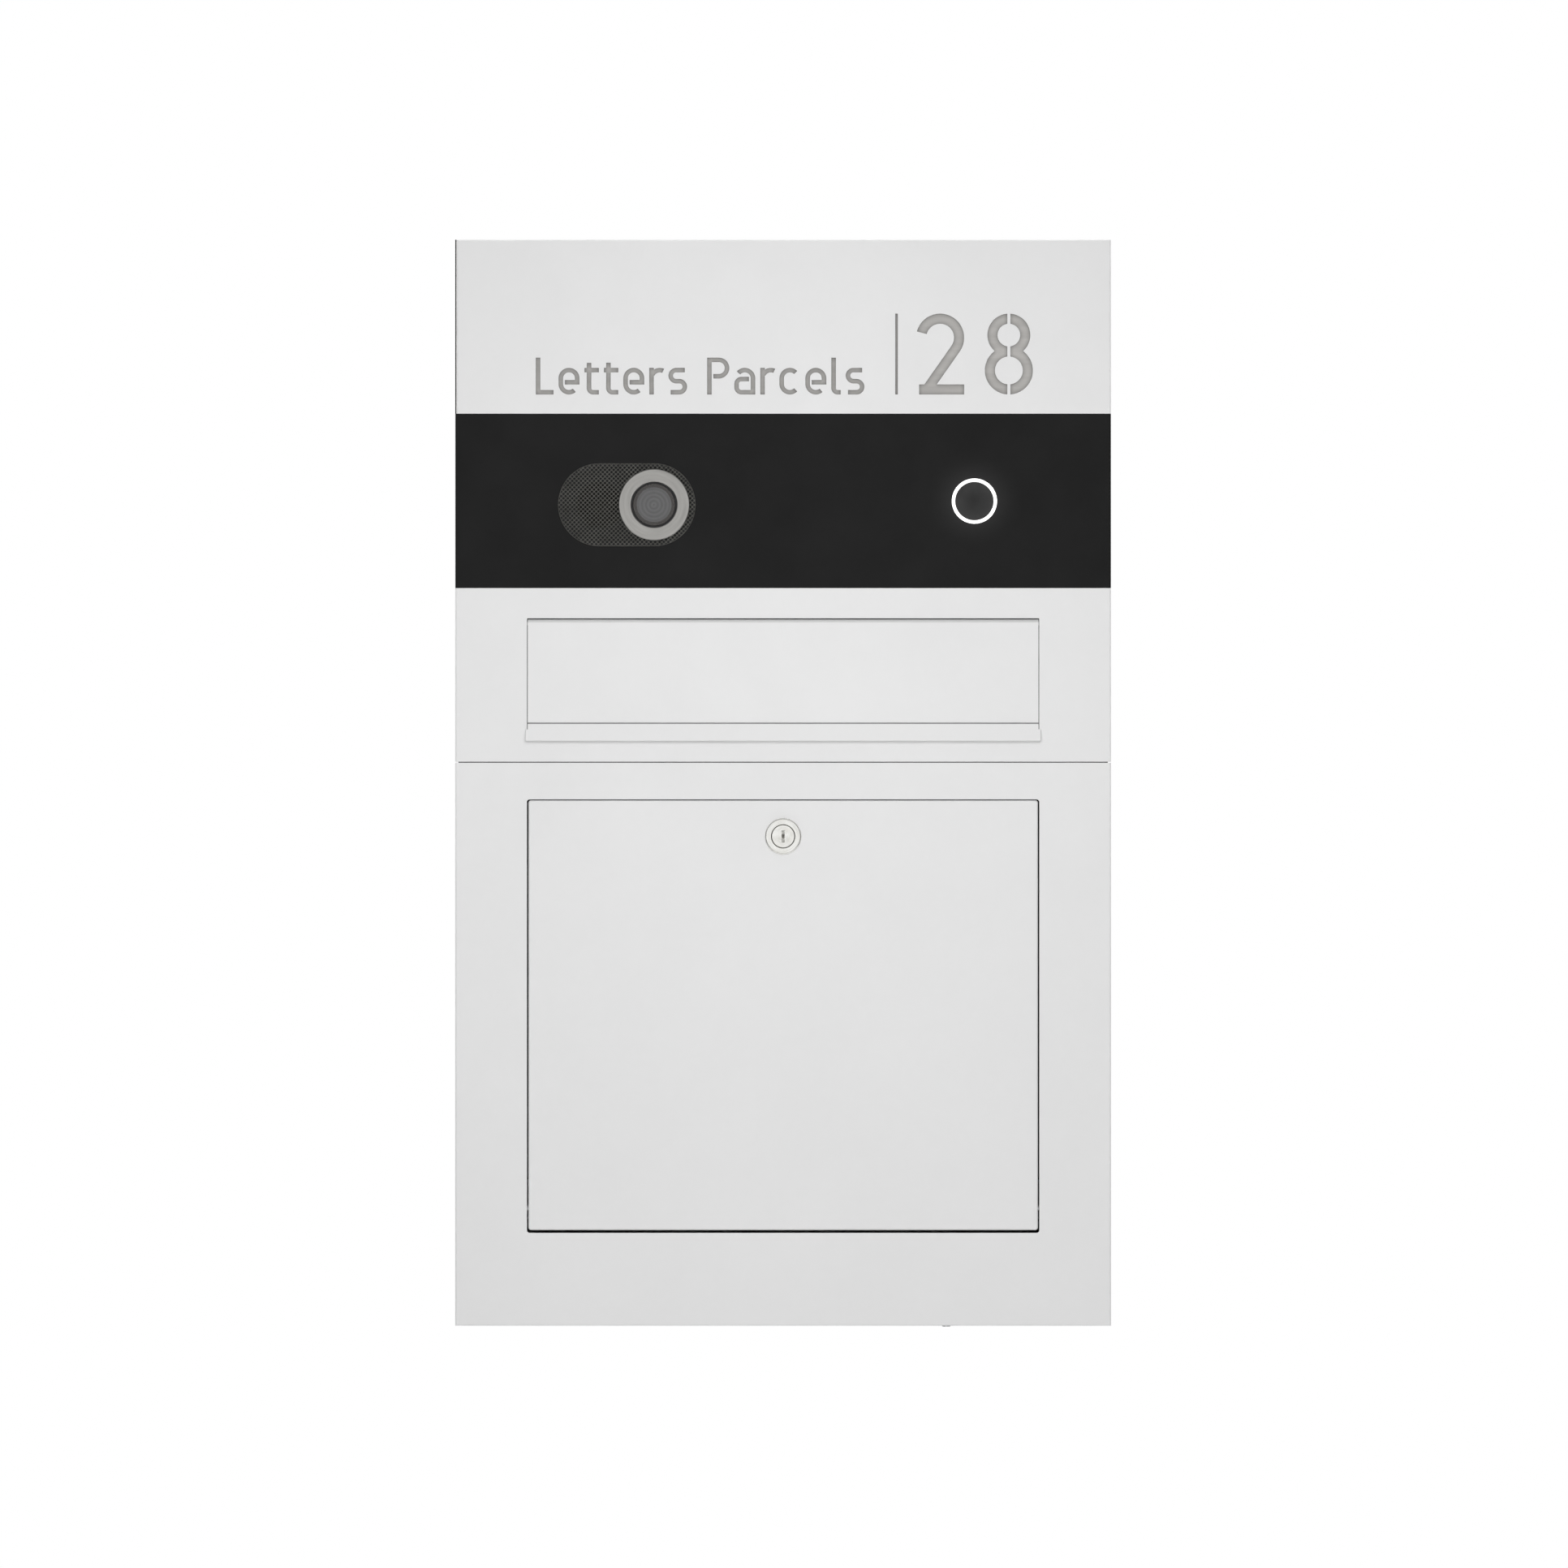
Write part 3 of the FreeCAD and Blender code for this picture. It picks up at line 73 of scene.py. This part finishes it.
# Flap
ROLL_SEEN = 2.6 * MM  # height of the roll that shows above the flap's flat face, coloured grey as painted shade
CREASE_UP = 13.2 * MM  # scored line above the flap's lower edge, where a dark line of painted shade is laid
CREASE_HALF = 0.5 * MM
ROLL_BLEND = 0.1 * MM  # half of where white turns to the painted grey shade

# Lock
GAP_CORE, GAP_FADE = 0.12 * MM, 0.42 * MM  # painted dark shade line round the plug, to each side of its edge

# Lettering
# how dark the painted shade in the letters' narrow cuts gets
HOLLOW_SHADE = 0.45

# Speaker grille
HOLE_PITCH = 2.26 * MM
HOLE_R = 0.93 * MM
HOLE_POINTS = 12
HOLE_EDGE = 0.08 * MM
GRILLE_RIM = 0.4 * MM
ROUND_END_STEPS = 24

# Camera window
RIPPLE = 2.9 * MM
RIPPLE_DEPTH = 0.10 * MM
WINDOW_CLEAR_R = 12.7 * MM
RIPPLE_STEPS = 72
LATHE_STEPS = 96


def middle(node):
    """The centre of a node's box at rest."""
    low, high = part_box(node)
    return (Vector(low) + Vector(high)) / 2


CAMERA_AXIS = middle("camera_bezel")
BELL_AXIS = middle("bell_cap")
LOCK_AXIS = middle("lock_plug")
PLUG_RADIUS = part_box("lock_plug")[1][0] - LOCK_AXIS.x
SPEAKER_AXIS = middle("speaker_cone")
FRONT_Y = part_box("door_leaf")[0][1]


# ---------------------------------------------------------------- materials

class Finish:
    """One procedural material. Each call adds a node and gives back its output socket."""

    def __init__(self, name, values):
        self.material = bpy.data.materials.new(name)
        self.material.use_nodes = True
        self.tree = self.material.node_tree
        self.shader = self.tree.nodes["Principled BSDF"]
        for key, value in values.items():
            self.feed(self.shader.inputs[key], value)

    def feed(self, socket, value):
        if isinstance(value, bpy.types.NodeSocket):
            self.tree.links.new(value, socket)
        elif isinstance(value, tuple) and len(value) == 3 and socket.type == "RGBA":
            socket.default_value = (*value, 1)
        else:
            socket.default_value = value

    def node(self, kind, inputs, out=0, **settings):
        made = self.tree.nodes.new("ShaderNode" + kind)
        for key, value in settings.items():
            setattr(made, key, value)
        for key, value in inputs.items():
            self.feed(made.inputs[key], value)
        return made.outputs[out]

    def place(self, centre=(0, 0, 0), stretch=(1, 1, 1)):
        """Object coordinates in metres, measured from centre, then stretched."""
        spot = self.node("TexCoord", {}, out="Object")
        moved = self.node("VectorMath", {0: spot, 1: tuple(centre)}, operation="SUBTRACT")
        return self.node("VectorMath", {0: moved, 1: stretch}, operation="MULTIPLY")

    def sum(self, a, b, operation="ADD"):
        return self.node("Math", {0: a, 1: b}, operation=operation)

    def noise(self, size, detail=3.0, place=None):
        """Cloudy noise whose blotches are about size metres across."""
        spot = place or self.place()
        return self.node("TexNoise", {"Vector": spot, "Scale": 1 / size, "Detail": detail}, out="Fac")

    def cells(self, size, out="Color", **settings):
        spot = self.place()
        return self.node("TexVoronoi", {"Vector": spot, "Scale": 1 / size}, out=out, **settings)

    def radius(self, centre):
        """Distance from the axis along Y through centre."""
        return self.node("VectorMath", {0: self.place(centre, (1, 0, 1))}, out="Value", operation="LENGTH")

    def angle(self, centre):
        """Angle round the axis along Y through centre, in radians."""
        spot = self.node("SeparateXYZ", {0: self.place(centre)}, out="X")
        return self.node("Math", {0: spot.node.outputs["Z"], 1: spot}, operation="ARCTAN2")

    def turning(self, centre, fine):
        """Coordinates for marks that run round the axis along Y through centre, with no start or end."""
        across = self.sum(self.radius(centre), 1 / fine, "MULTIPLY")
        angle = self.angle(centre)
        ways = [self.node("Math", {0: angle}, operation=way) for way in ("COSINE", "SINE")]
        return self.node("CombineXYZ", {"X": across, "Y": ways[0], "Z": ways[1]})

    def span(self, value, low, high, start=0.3, end=0.7):
        """Value between start and end becomes low to high."""
        keys = {"Value": value, "From Min": start, "From Max": end, "To Min": low, "To Max": high}
        return self.node("MapRange", keys)

    def mix(self, factor, first, second):
        return self.node("Mix", {0: factor, 6: first, 7: second}, out=2, data_type="RGBA")

    def colour(self, value):
        self.feed(self.shader.inputs["Base Color"], value)

    def rough(self, value):
        self.feed(self.shader.inputs["Roughness"], value)

    def bump(self, height, depth):
        """Relief of depth metres where height goes from 0 to 1."""
        previous = self.shader.inputs["Normal"]
        keys = {"Height": height, "Distance": depth}
        if previous.is_linked:
            keys["Normal"] = previous.links[0].from_socket
        self.feed(previous, self.node("Bump", keys))


def shade(colour, factor):
    return tuple(min(1.0, c * factor) for c in colour)


def powder_coat(name, colour, roughness, mottle, peel, peel_depth, values):
    """Baked powder paint: orange peel, faint clouding and slightly uneven gloss."""
    f = Finish(name, values)
    clouds = f.span(f.noise(90 * MM, 4.0), 0.0, 1.0)
    grain = f.span(f.noise(7 * MM, 3.0), 0.0, 1.0)
    tone = f.sum(f.sum(clouds, 0.7, "MULTIPLY"), f.sum(grain, 0.3, "MULTIPLY"))
    f.colour(f.mix(tone, shade(colour, 1 - mottle), shade(colour, 1 + mottle)))
    f.rough(f.span(f.noise(35 * MM, 4.0), roughness - 0.05, roughness + 0.06))
    f.bump(f.noise(peel, 2.0), peel_depth)
    return f


def white_coat(name):
    paint = (0.81, 0.81, 0.81)
    return powder_coat(name, paint, 0.42, 0.012, 1.6 * MM, 0.02 * MM, {"Specular IOR Level": 0.4})


def white_paint():
    return white_coat("white_powder_coat").material


def flap_paint():
    """The flap's white coat, with painted grey shade on the roll in the top of its opening and a painted
    dark shade line in the scored groove.
    """
    f = white_coat("flap_powder_coat")
    bottom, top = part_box("flap_leaf")[0][2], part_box("flap_leaf")[1][2]
    height = f.node("SeparateXYZ", {0: f.place()}, out="Z")
    # painted shade: the roll curving back above the flat face is greyed
    roll = f.span(height, 0.0, 1.0, top - ROLL_SEEN - ROLL_BLEND, top - ROLL_SEEN + ROLL_BLEND)
    off_line = f.node("Math", {0: f.sum(height, bottom + CREASE_UP, "SUBTRACT")}, operation="ABSOLUTE")
    # painted shade: a dark line along the scored groove
    line = f.span(off_line, 1.0, 0.0, CREASE_HALF * 0.9, CREASE_HALF)
    painted = f.shader.inputs["Base Color"].links[0].from_socket
    # grey and dark colours of the painted shade
    f.colour(f.mix(line, f.mix(roll, painted, (0.68, 0.68, 0.68)), (0.34, 0.34, 0.34)))
    return f.material


def black_paint():
    """The station's panel, with a painted glow of the bell ring's light lying softly round the bell."""
    paint = (0.0062, 0.0062, 0.0063)
    values = {"Specular IOR Level": 0.2, "Emission Color": (1.0, 1.0, 1.0)}
    f = powder_coat("black_satin_coat", paint, 0.38, 0.10, 1.2 * MM, 0.012 * MM, values)
    # painted light: the panel glows round the bell, though it is no lamp
    near = f.span(f.radius(BELL_AXIS), 1.0, 0.0, 15 * MM, 38 * MM)
    painted_glow = f.sum(near, 2.2, "POWER")
    f.feed(f.shader.inputs["Emission Strength"], f.sum(painted_glow, 0.016, "MULTIPLY"))
    return f.material


def dark_frame():
    f = powder_coat("dark_frame_coat", (0.035, 0.036, 0.038), 0.55, 0.12, 1.0 * MM, 0.03 * MM, {})
    return f.material


def brushed(name, colour, roughness, along, values, hollow=0.0):
    """Brushed metal with fine straight marks along X, with painted shade within hollow metres of what stands
    over it.
    """
    f = Finish(name, {"Metallic": 1.0, **values})
    marks = f.noise(1.0, 2.0, f.place(stretch=(1 / along, 1 / (0.18 * MM), 1 / (0.18 * MM))))
    broad = f.noise(1.0, 3.0, f.place(stretch=(1 / (3 * along), 1 / (4 * MM), 1 / (4 * MM))))
    steel = f.mix(f.span(broad, 0.0, 1.0), shade(colour, 0.93), shade(colour, 1.05))
    if hollow:
        # painted shade: darker where ambient occlusion finds something close over it
        sky = f.node("AmbientOcclusion", {"Distance": hollow}, out="AO")
        steel = f.mix(f.span(sky, 0.0, 1.0, 0.35, 1.0), shade(colour, HOLLOW_SHADE), steel)
    f.colour(steel)
    f.rough(f.span(marks, roughness - 0.07, roughness + 0.09))
    f.bump(marks, 0.006 * MM)
    return f.material


def brushed_sheet():
    """Brushed steel behind the cut-out letters, with painted shade where it lies deep in a narrow cut."""
    return brushed("brushed_steel", (0.60, 0.585, 0.565), 0.36, 22 * MM, {}, hollow=3 * MM)


def turned(name, colour, roughness, centre, fine, values):
    """Metal that was turned or brushed round an axis along Y."""
    f = Finish(name, {"Metallic": 1.0, **values})
    marks = f.noise(1.0, 3.0, f.turning(centre, fine))
    arcs = f.noise(1.0, 2.0, f.turning(centre, fine * 9))
    f.colour(f.mix(f.span(arcs, 0.0, 1.0), shade(colour, 0.90), shade(colour, 1.06)))
    f.rough(f.span(marks, roughness - 0.06, roughness + 0.08))
    f.bump(marks, 0.008 * MM)
    return f


def bezel_metal():
    return turned("bezel_steel", (0.48, 0.472, 0.452), 0.34, CAMERA_AXIS, 0.22 * MM, {}).material


def lock_chrome():
    """Bright nickel, with a painted dark shade line in the gap where the plug turns in the barrel."""
    f = turned("lock_nickel", (0.98, 0.965, 0.915), 0.28, LOCK_AXIS, 0.5 * MM, {})
    off_gap = f.node("Math", {0: f.sum(f.radius(LOCK_AXIS), PLUG_RADIUS, "SUBTRACT")}, operation="ABSOLUTE")
    # painted shade in the gap round the plug
    gap_shade = f.span(off_gap, 1.0, 0.0, GAP_CORE, GAP_FADE)
    metal = f.shader.inputs["Base Color"].links[0].from_socket
    f.colour(f.mix(gap_shade, metal, (0.22, 0.21, 0.18)))
    return f.material


def zinc_sheet():
    """Hot-dip galvanised sheet: spangle of a few millimetres, each grain with its own gloss."""
    f = Finish("galvanised_sheet", {"Metallic": 1.0})
    spangle = f.node("SeparateColor", {0: f.cells(7 * MM)}, out="Red")
    smear = f.noise(60 * MM, 5.0)
    tone = f.sum(f.sum(spangle, 0.55, "MULTIPLY"), f.sum(smear, 0.6, "MULTIPLY"))
    f.colour(f.mix(f.span(tone, 0.0, 1.0, 0.1, 1.0), (0.56, 0.58, 0.60), (0.72, 0.74, 0.76)))
    f.rough(f.span(spangle, 0.30, 0.48, 0.0, 1.0))
    f.bump(f.noise(2.5 * MM, 3.0), 0.01 * MM)
    return f.material


def plated(name, colour, roughness):
    """Plated or plain small steel parts."""
    f = Finish(name, {"Metallic": 1.0})
    stain = f.noise(3 * MM, 4.0)
    f.colour(f.mix(f.span(stain, 0.0, 1.0), shade(colour, 0.85), shade(colour, 1.08)))
    f.rough(f.span(f.noise(0.9 * MM, 3.0), roughness - 0.06, roughness + 0.10))
    f.bump(f.noise(0.5 * MM, 2.0), 0.006 * MM)
    return f.material


def zinc_screw():
    return plated("zinc_plated_steel", (0.66, 0.67, 0.68), 0.30)


def cam_steel():
    return plated("bright_steel", (0.58, 0.56, 0.53), 0.36)


def moulded(name, colour, roughness, grain, depth, values):
    """Injection-moulded plastic with a spark-eroded grain."""
    f = Finish(name, values)
    flow = f.span(f.noise(18 * MM, 3.0), 0.0, 1.0)
    f.colour(f.mix(flow, shade(colour, 0.93), shade(colour, 1.07)))
    f.rough(f.span(f.noise(4 * MM, 3.0), roughness - 0.04, roughness + 0.06))
    f.bump(f.noise(grain, 2.0), depth)
    return f


def black_plastic():
    return moulded("black_plastic_grain", (0.011, 0.011, 0.012), 0.50, 0.35 * MM, 0.012 * MM, {}).material


def grey_plastic():
    return moulded("grey_plastic_grain", (0.47, 0.48, 0.47), 0.46, 0.4 * MM, 0.015 * MM, {}).material


def cap_plastic():
    """The bell's cap: translucent dark plastic; the little of the ring's light it takes is a painted glow,
    growing towards its rim.
    """
    values = {"Specular IOR Level": 0.35, "Emission Color": (1.0, 1.0, 1.0)}
    f = moulded("cap_plastic_satin", (0.009, 0.009, 0.009), 0.42, 0.5 * MM, 0.006 * MM, values)
    # painted glow, stronger towards the cap's rim next to the lit ring
    cap_glow = f.span(f.radius(BELL_AXIS), 0.006, 0.020, 1 * MM, 12 * MM)
    uneven = f.span(f.noise(9 * MM, 2.0), 0.85, 1.15)
    f.feed(f.shader.inputs["Emission Strength"], f.sum(cap_glow, uneven, "MULTIPLY"))
    return f.material


def glow_plastic():
    """The bell's lit ring: frosted plastic, slightly brighter over each of its lamps."""
    f = Finish("lit_ring", {"Base Color": (0.9, 0.9, 0.9), "Emission Color": (1.0, 0.995, 0.98)})
    beat = f.node("Math", {0: f.sum(f.angle(BELL_AXIS), 12.0, "MULTIPLY")}, operation="COSINE")
    f.feed(f.shader.inputs["Emission Strength"], f.span(beat, 1.0, 1.25, -1.0, 1.0))
    f.rough(f.span(f.noise(1.5 * MM, 2.0), 0.45, 0.6))
    f.bump(f.noise(0.6 * MM, 2.0), 0.01 * MM)
    return f.material


def window_plastic():
    """The camera's smoked window: clear grey in the middle, printed dark towards its edge."""
    f = Finish("smoked_window", {"Transmission Weight": 0.2, "IOR": 1.49, "Coat Weight": 0.15})
    away = f.radius(CAMERA_AXIS)
    wave = f.node("Math", {0: f.sum(away, 2 * math.pi / RIPPLE, "MULTIPLY")}, operation="COSINE")
    rings = f.span(f.sum(wave, f.noise(6 * MM, 3.0), "ADD"), 0.0, 1.0, -0.6, 1.6)
    clear = f.mix(rings, (0.130, 0.130, 0.132), (0.096, 0.096, 0.098))
    edge = f.span(away, 0.0, 1.0, WINDOW_CLEAR_R - 0.25 * MM, WINDOW_CLEAR_R + 0.25 * MM)
    f.colour(f.mix(edge, clear, (0.040, 0.034, 0.030)))
    f.rough(f.span(f.noise(5 * MM, 3.0), 0.16, 0.28))
    f.bump(f.noise(3 * MM, 2.0), 0.01 * MM)
    return f.material


def lens_glass():
    f = Finish("coated_lens", {"Specular IOR Level": 0.9, "Coat Weight": 1.0, "Coat Tint": (0.5, 0.6, 1.0)})
    away = f.radius(CAMERA_AXIS)
    f.colour(f.mix(f.span(away, 0.0, 1.0, 3 * MM, 6 * MM), (0.004, 0.006, 0.012), (0.014, 0.014, 0.015)))
    f.rough(f.span(f.noise(2 * MM, 2.0), 0.05, 0.12))
    f.bump(f.noise(1.2 * MM, 2.0), 0.001 * MM)
    return f.material


def mesh_metal():
    values = {"Metallic": 0.85, "Specular IOR Level": 0.5}
    f = Finish("grille_coat", values)
    f.colour(f.mix(f.span(f.noise(12 * MM, 3.0), 0.0, 1.0), (0.105, 0.104, 0.095), (0.150, 0.149, 0.136)))
    f.rough(f.span(f.noise(2 * MM, 3.0), 0.38, 0.55))
    f.bump(f.noise(0.5 * MM, 2.0), 0.01 * MM)
    return f.material


def board_green():
    """Solder mask over copper tracks and tinned pads."""
    f = Finish("circuit_board", {"Coat Weight": 0.3})
    tracks = f.node("TexBrick", {"Vector": f.place(), "Scale": 120.0, "Mortar Size": 0.06}, out="Fac")
    pads = f.span(f.cells(4 * MM, "Distance"), 1.0, 0.0, 0.10, 0.14)
    mask = f.mix(tracks, (0.010, 0.085, 0.035), (0.030, 0.150, 0.070))
    f.colour(f.mix(pads, mask, (0.62, 0.60, 0.52)))
    f.rough(f.span(f.noise(2 * MM, 3.0), 0.28, 0.42))
    f.bump(tracks, 0.03 * MM)
    return f.material


def cone_paper():
    f = Finish("cone_paper", {"Specular IOR Level": 0.2})
    fibre = f.noise(1.0, 4.0, f.turning(SPEAKER_AXIS, 0.6 * MM))
    f.colour(f.mix(f.span(fibre, 0.0, 1.0), (0.018, 0.017, 0.016), (0.045, 0.043, 0.040)))
    f.rough(f.span(fibre, 0.75, 0.95))
    f.bump(fibre, 0.08 * MM)
    return f.material


def rubber():
    f = Finish("sponge_rubber", {"Specular IOR Level": 0.3})
    f.colour(f.mix(f.span(f.noise(12 * MM, 3.0), 0.0, 1.0), (0.012, 0.012, 0.012), (0.024, 0.024, 0.023)))
    f.rough(f.span(f.noise(3 * MM, 3.0), 0.72, 0.9))
    f.bump(f.noise(0.8 * MM, 4.0), 0.06 * MM)
    return f.material


def floor_paint():
    f = Finish("studio_floor", {"Specular IOR Level": 0.2})
    f.colour(f.mix(f.span(f.noise(0.8, 3.0), 0.0, 1.0), (0.80, 0.80, 0.80), (0.84, 0.84, 0.84)))
    f.rough(0.8)
    return f.material


BUILDERS = (white_paint, black_paint, dark_frame, brushed_sheet, zinc_sheet, zinc_screw, bezel_metal,
            lock_chrome, cam_steel, black_plastic, grey_plastic, cap_plastic, glow_plastic,
            window_plastic, lens_glass, mesh_metal, board_green, cone_paper, rubber)
FINISHES = {builder.__name__: builder() for builder in BUILDERS}


# ---------------------------------------------------------------- mesh pieces

def loft(shell, rings, closed=True):
    """Quads between neighbouring rings of points, all with the same number of points."""
    rows = [[shell.verts.new(point) for point in ring] for ring in rings]
    count = len(rows[0])
    for first, second in zip(rows, rows[1:]):
        for k in range(count if closed else count - 1):
            n = (k + 1) % count
            shell.faces.new((first[k], first[n], second[n], second[k]))
    return rows


def piece(name, shell, slot, body, replaced, smooth_angle=40):
    """Turns a bmesh into a finished piece that rides on a body and stands for a CAD node."""
    bmesh.ops.remove_doubles(shell, verts=shell.verts, dist=0.002 * MM)
    bmesh.ops.dissolve_degenerate(shell, edges=shell.edges, dist=0.001 * MM)
    bmesh.ops.recalc_face_normals(shell, faces=shell.faces)
    mesh = bpy.data.meshes.new(name)
    shell.to_mesh(mesh)
    shell.free()
    mesh.materials.append(FINISHES[slot])
    made = bpy.data.objects.new(name, mesh)
    bpy.context.scene.collection.objects.link(made)
    mesh.shade_smooth()
    mesh.set_sharp_from_angle(angle=math.radians(smooth_angle))
    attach(made, body)
    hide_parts(replaced)
    return made


def stadium(ends, radius, y):
    """Points of a shape with two round ends, whose centres are the two points in ends."""
    points = []
    for (x, z), start in zip(ends, (0.5, 1.5)):
        for k in range(ROUND_END_STEPS + 1):
            a = math.pi * (start + k / ROUND_END_STEPS)
            points.append((x + radius * math.cos(a), y, z + radius * math.sin(a)))
    return points


def hole_cell(shell, x, z, front, back):
    """One square of the sheet, set on its corner, with a round hole whose edges are eased."""
    outer, lip, hole = [], [], []
    for k in range(HOLE_POINTS):
        a = 2 * math.pi * (k + 0.5) / HOLE_POINTS
        reach = HOLE_PITCH / 2 / max(abs(math.cos(a)), abs(math.sin(a)))
        turned_by = a + math.pi / 4
        ray = (math.cos(turned_by), math.sin(turned_by))
        for ring, r in ((outer, reach), (lip, HOLE_R + HOLE_EDGE), (hole, HOLE_R)):
            ring.append((x + r * ray[0], z + r * ray[1]))
    levels = ((outer, front), (lip, front), (hole, front + HOLE_EDGE), (hole, back), (outer, back))
    loft(shell, [[(px, y, pz) for px, pz in ring] for ring, y in levels])


def speaker_grille():
    """The speaker's perforated sheet: a square grid of round holes turned by 45 degrees, in a plain rim."""
    (x0, front, z0), (x1, back, z1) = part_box("speaker_mesh")
    radius, z = (z1 - z0) / 2, (z0 + z1) / 2
    ends = ((x0 + radius, z), (x1 - radius, z))
    low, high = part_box("camera_barrel")
    bore = (high[0] - low[0]) / 2
    field = radius - GRILLE_RIM
    shell = bmesh.new()
    step = HOLE_PITCH / math.sqrt(2)
    reach = math.ceil((x1 - x0) / 2 / step)
    for i in range(-reach, reach + 1):
        for j in range(-reach, reach + 1):
            x, up = (x0 + x1) / 2 + (i - j) * step, z + (i + j) * step
            nearest = min(max(x, ends[0][0]), ends[1][0])
            in_field = math.hypot(x - nearest, up - z) < field + HOLE_PITCH
            if in_field and math.hypot(x - CAMERA_AXIS.x, up - CAMERA_AXIS.z) > bore + HOLE_PITCH:
                hole_cell(shell, x, up, front, back)
    outline = stadium(ends, field, front)
    for first, second in zip(outline, outline[1:] + outline[:1]):
        along = Vector(second) - Vector(first)
        if along.length > MM * 0.01:
            outward = (along.z, 0, -along.x)
            whole = shell.verts[:] + shell.edges[:] + shell.faces[:]
            bmesh.ops.bisect_plane(shell, geom=whole, plane_co=first, plane_no=outward, clear_outer=True)
    ease = GRILLE_RIM / 4
    rim = ((field, front), (radius - ease, front), (radius, front + ease), (radius, back), (field, back))
    loft(shell, [stadium(ends, r, y) for r, y in rim])
    piece("speaker_grille", shell, "mesh_metal", "housing", "speaker_mesh")


def lathe(shell, centre, profile):
    """Turns a profile of (radius, y) round the axis along Y through centre."""
    rings = []
    for radius, y in profile:
        spread = [2 * math.pi * k / LATHE_STEPS for k in range(LATHE_STEPS)]
        rings.append([(centre.x + radius * math.cos(a), y, centre.z + radius * math.sin(a)) for a in spread])
    loft(shell, rings)


def camera_window():
    """The smoked window over the lens, with shallow rings moulded into its face."""
    low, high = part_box("camera_window")
    radius, front, back = (high[0] - low[0]) / 2, low[1], high[1]
    ease = 0.3 * MM
    profile = [(0, back), (radius, back), (radius, front + ease), (radius - ease, front)]
    for k in range(RIPPLE_STEPS + 1):
        r = (WINDOW_CLEAR_R + 0.2 * MM) * (1 - k / RIPPLE_STEPS)
        sink = RIPPLE_DEPTH * (0.5 - 0.5 * math.cos(2 * math.pi * r / RIPPLE))
        profile.append((r, front + sink))
    shell = bmesh.new()
    lathe(shell, CAMERA_AXIS, profile)
    piece("camera_front_window", shell, "window_plastic", "housing", "camera_window")


# ---------------------------------------------------------------- stage, light and camera

def floor():
    shell = bmesh.new()
    bmesh.ops.create_circle(shell, cap_ends=True, segments=96, radius=FLOOR_R)
    mesh = bpy.data.meshes.new("floor")
    shell.to_mesh(mesh)
    shell.free()
    mesh.materials.append(floor_paint())
    made = bpy.data.objects.new("floor", mesh)
    made.location = (0, 0, FLOOR_Z)
    bpy.context.scene.collection.objects.link(made)


def soft_light(name, place, size, power, glossy=True):
    """A large soft light aimed at the middle of the front, unseen by the camera."""
    light = bpy.data.lights.new(name, "AREA")
    light.shape, light.size, light.energy = "DISK", size, power
    made = bpy.data.objects.new(name, light)
    made.location = place
    aim = Vector((0, FRONT_Y, 0)) - Vector(place)
    made.rotation_euler = aim.to_track_quat("-Z", "Y").to_euler()
    made.visible_camera = False
    made.visible_glossy = glossy
    bpy.context.scene.collection.objects.link(made)


def world():
    """Soft light all round, stronger in front and above. Only the camera sees the white ground."""
    made = bpy.data.worlds.new("studio")
    bpy.context.scene.world = made
    made.use_nodes = True
    nodes, links = made.node_tree.nodes, made.node_tree.links

    def step(kind, second, source, **settings):
        node = nodes.new("ShaderNode" + kind)
        for key, value in settings.items():
            setattr(node, key, value)
        links.new(source, node.inputs[0])
        if isinstance(second, bpy.types.NodeSocket):
            links.new(second, node.inputs[1])
        else:
            node.inputs[1].default_value = second
        return node.outputs["Value"]

    ray = nodes.new("ShaderNodeTexCoord").outputs["Generated"]
    light = WORLD_BASE
    for way, strength, spread in (((0, -1, 0), WORLD_FRONT, WORLD_SPREAD), ((0, 0, 1), WORLD_TOP, 1.0)):
        facing = step("VectorMath", way, ray, operation="DOT_PRODUCT")
        wide = step("Math", spread, step("Math", 0.0, facing, operation="MAXIMUM"), operation="POWER")
        light = step("Math", light, step("Math", strength, wide, operation="MULTIPLY"), operation="ADD")
    ground = nodes["Background"]
    ground.inputs["Color"].default_value = (1, 1, 1, 1)
    links.new(light, ground.inputs["Strength"])
    white = nodes.new("ShaderNodeBackground")
    white.inputs["Color"].default_value = (1, 1, 1, 1)
    rays = nodes.new("ShaderNodeLightPath")
    pick = nodes.new("ShaderNodeMixShader")
    links.new(rays.outputs["Is Camera Ray"], pick.inputs[0])
    links.new(ground.outputs[0], pick.inputs[1])
    links.new(white.outputs[0], pick.inputs[2])
    links.new(pick.outputs[0], nodes["World Output"].inputs["Surface"])


def camera():
    data = bpy.data.cameras.new("camera")
    data.sensor_width = SENSOR
    data.lens = SENSOR * CAMERA_AWAY / VIEW_WIDTH
    data.clip_end = 50
    made = bpy.data.objects.new("camera", data)
    made.location = (AIM_X, FRONT_Y - CAMERA_AWAY, AIM_Z)
    made.rotation_euler = (math.pi / 2, 0, 0)
    bpy.context.scene.collection.objects.link(made)
    bpy.context.scene.camera = made


def dress_frame():
    """Gives every CAD node its finish."""
    for node in frame["nodes"].values():
        for place in node.material_slots:
            place.material = FINISHES[place.material.name]
    frame["nodes"]["flap_leaf"].material_slots[0].material = flap_paint()


dress_frame()
speaker_grille()
camera_window()
floor()
soft_light("key", (0, FRONT_Y - 1.1, 0.20), 0.8, 7.15, glossy=False)
for side in (-1, 1):
    soft_light("side_light", (side * 1.7, 0.5, 0.5), 1.0, 12)
soft_light("back_light", (0.6, 2.0, 1.3), 1.2, 9)
soft_light("overhead", (0, 0.3, 2.6), 2.4, 45, glossy=False)
world()
camera()
bpy.context.scene.view_settings.view_transform = "Standard"
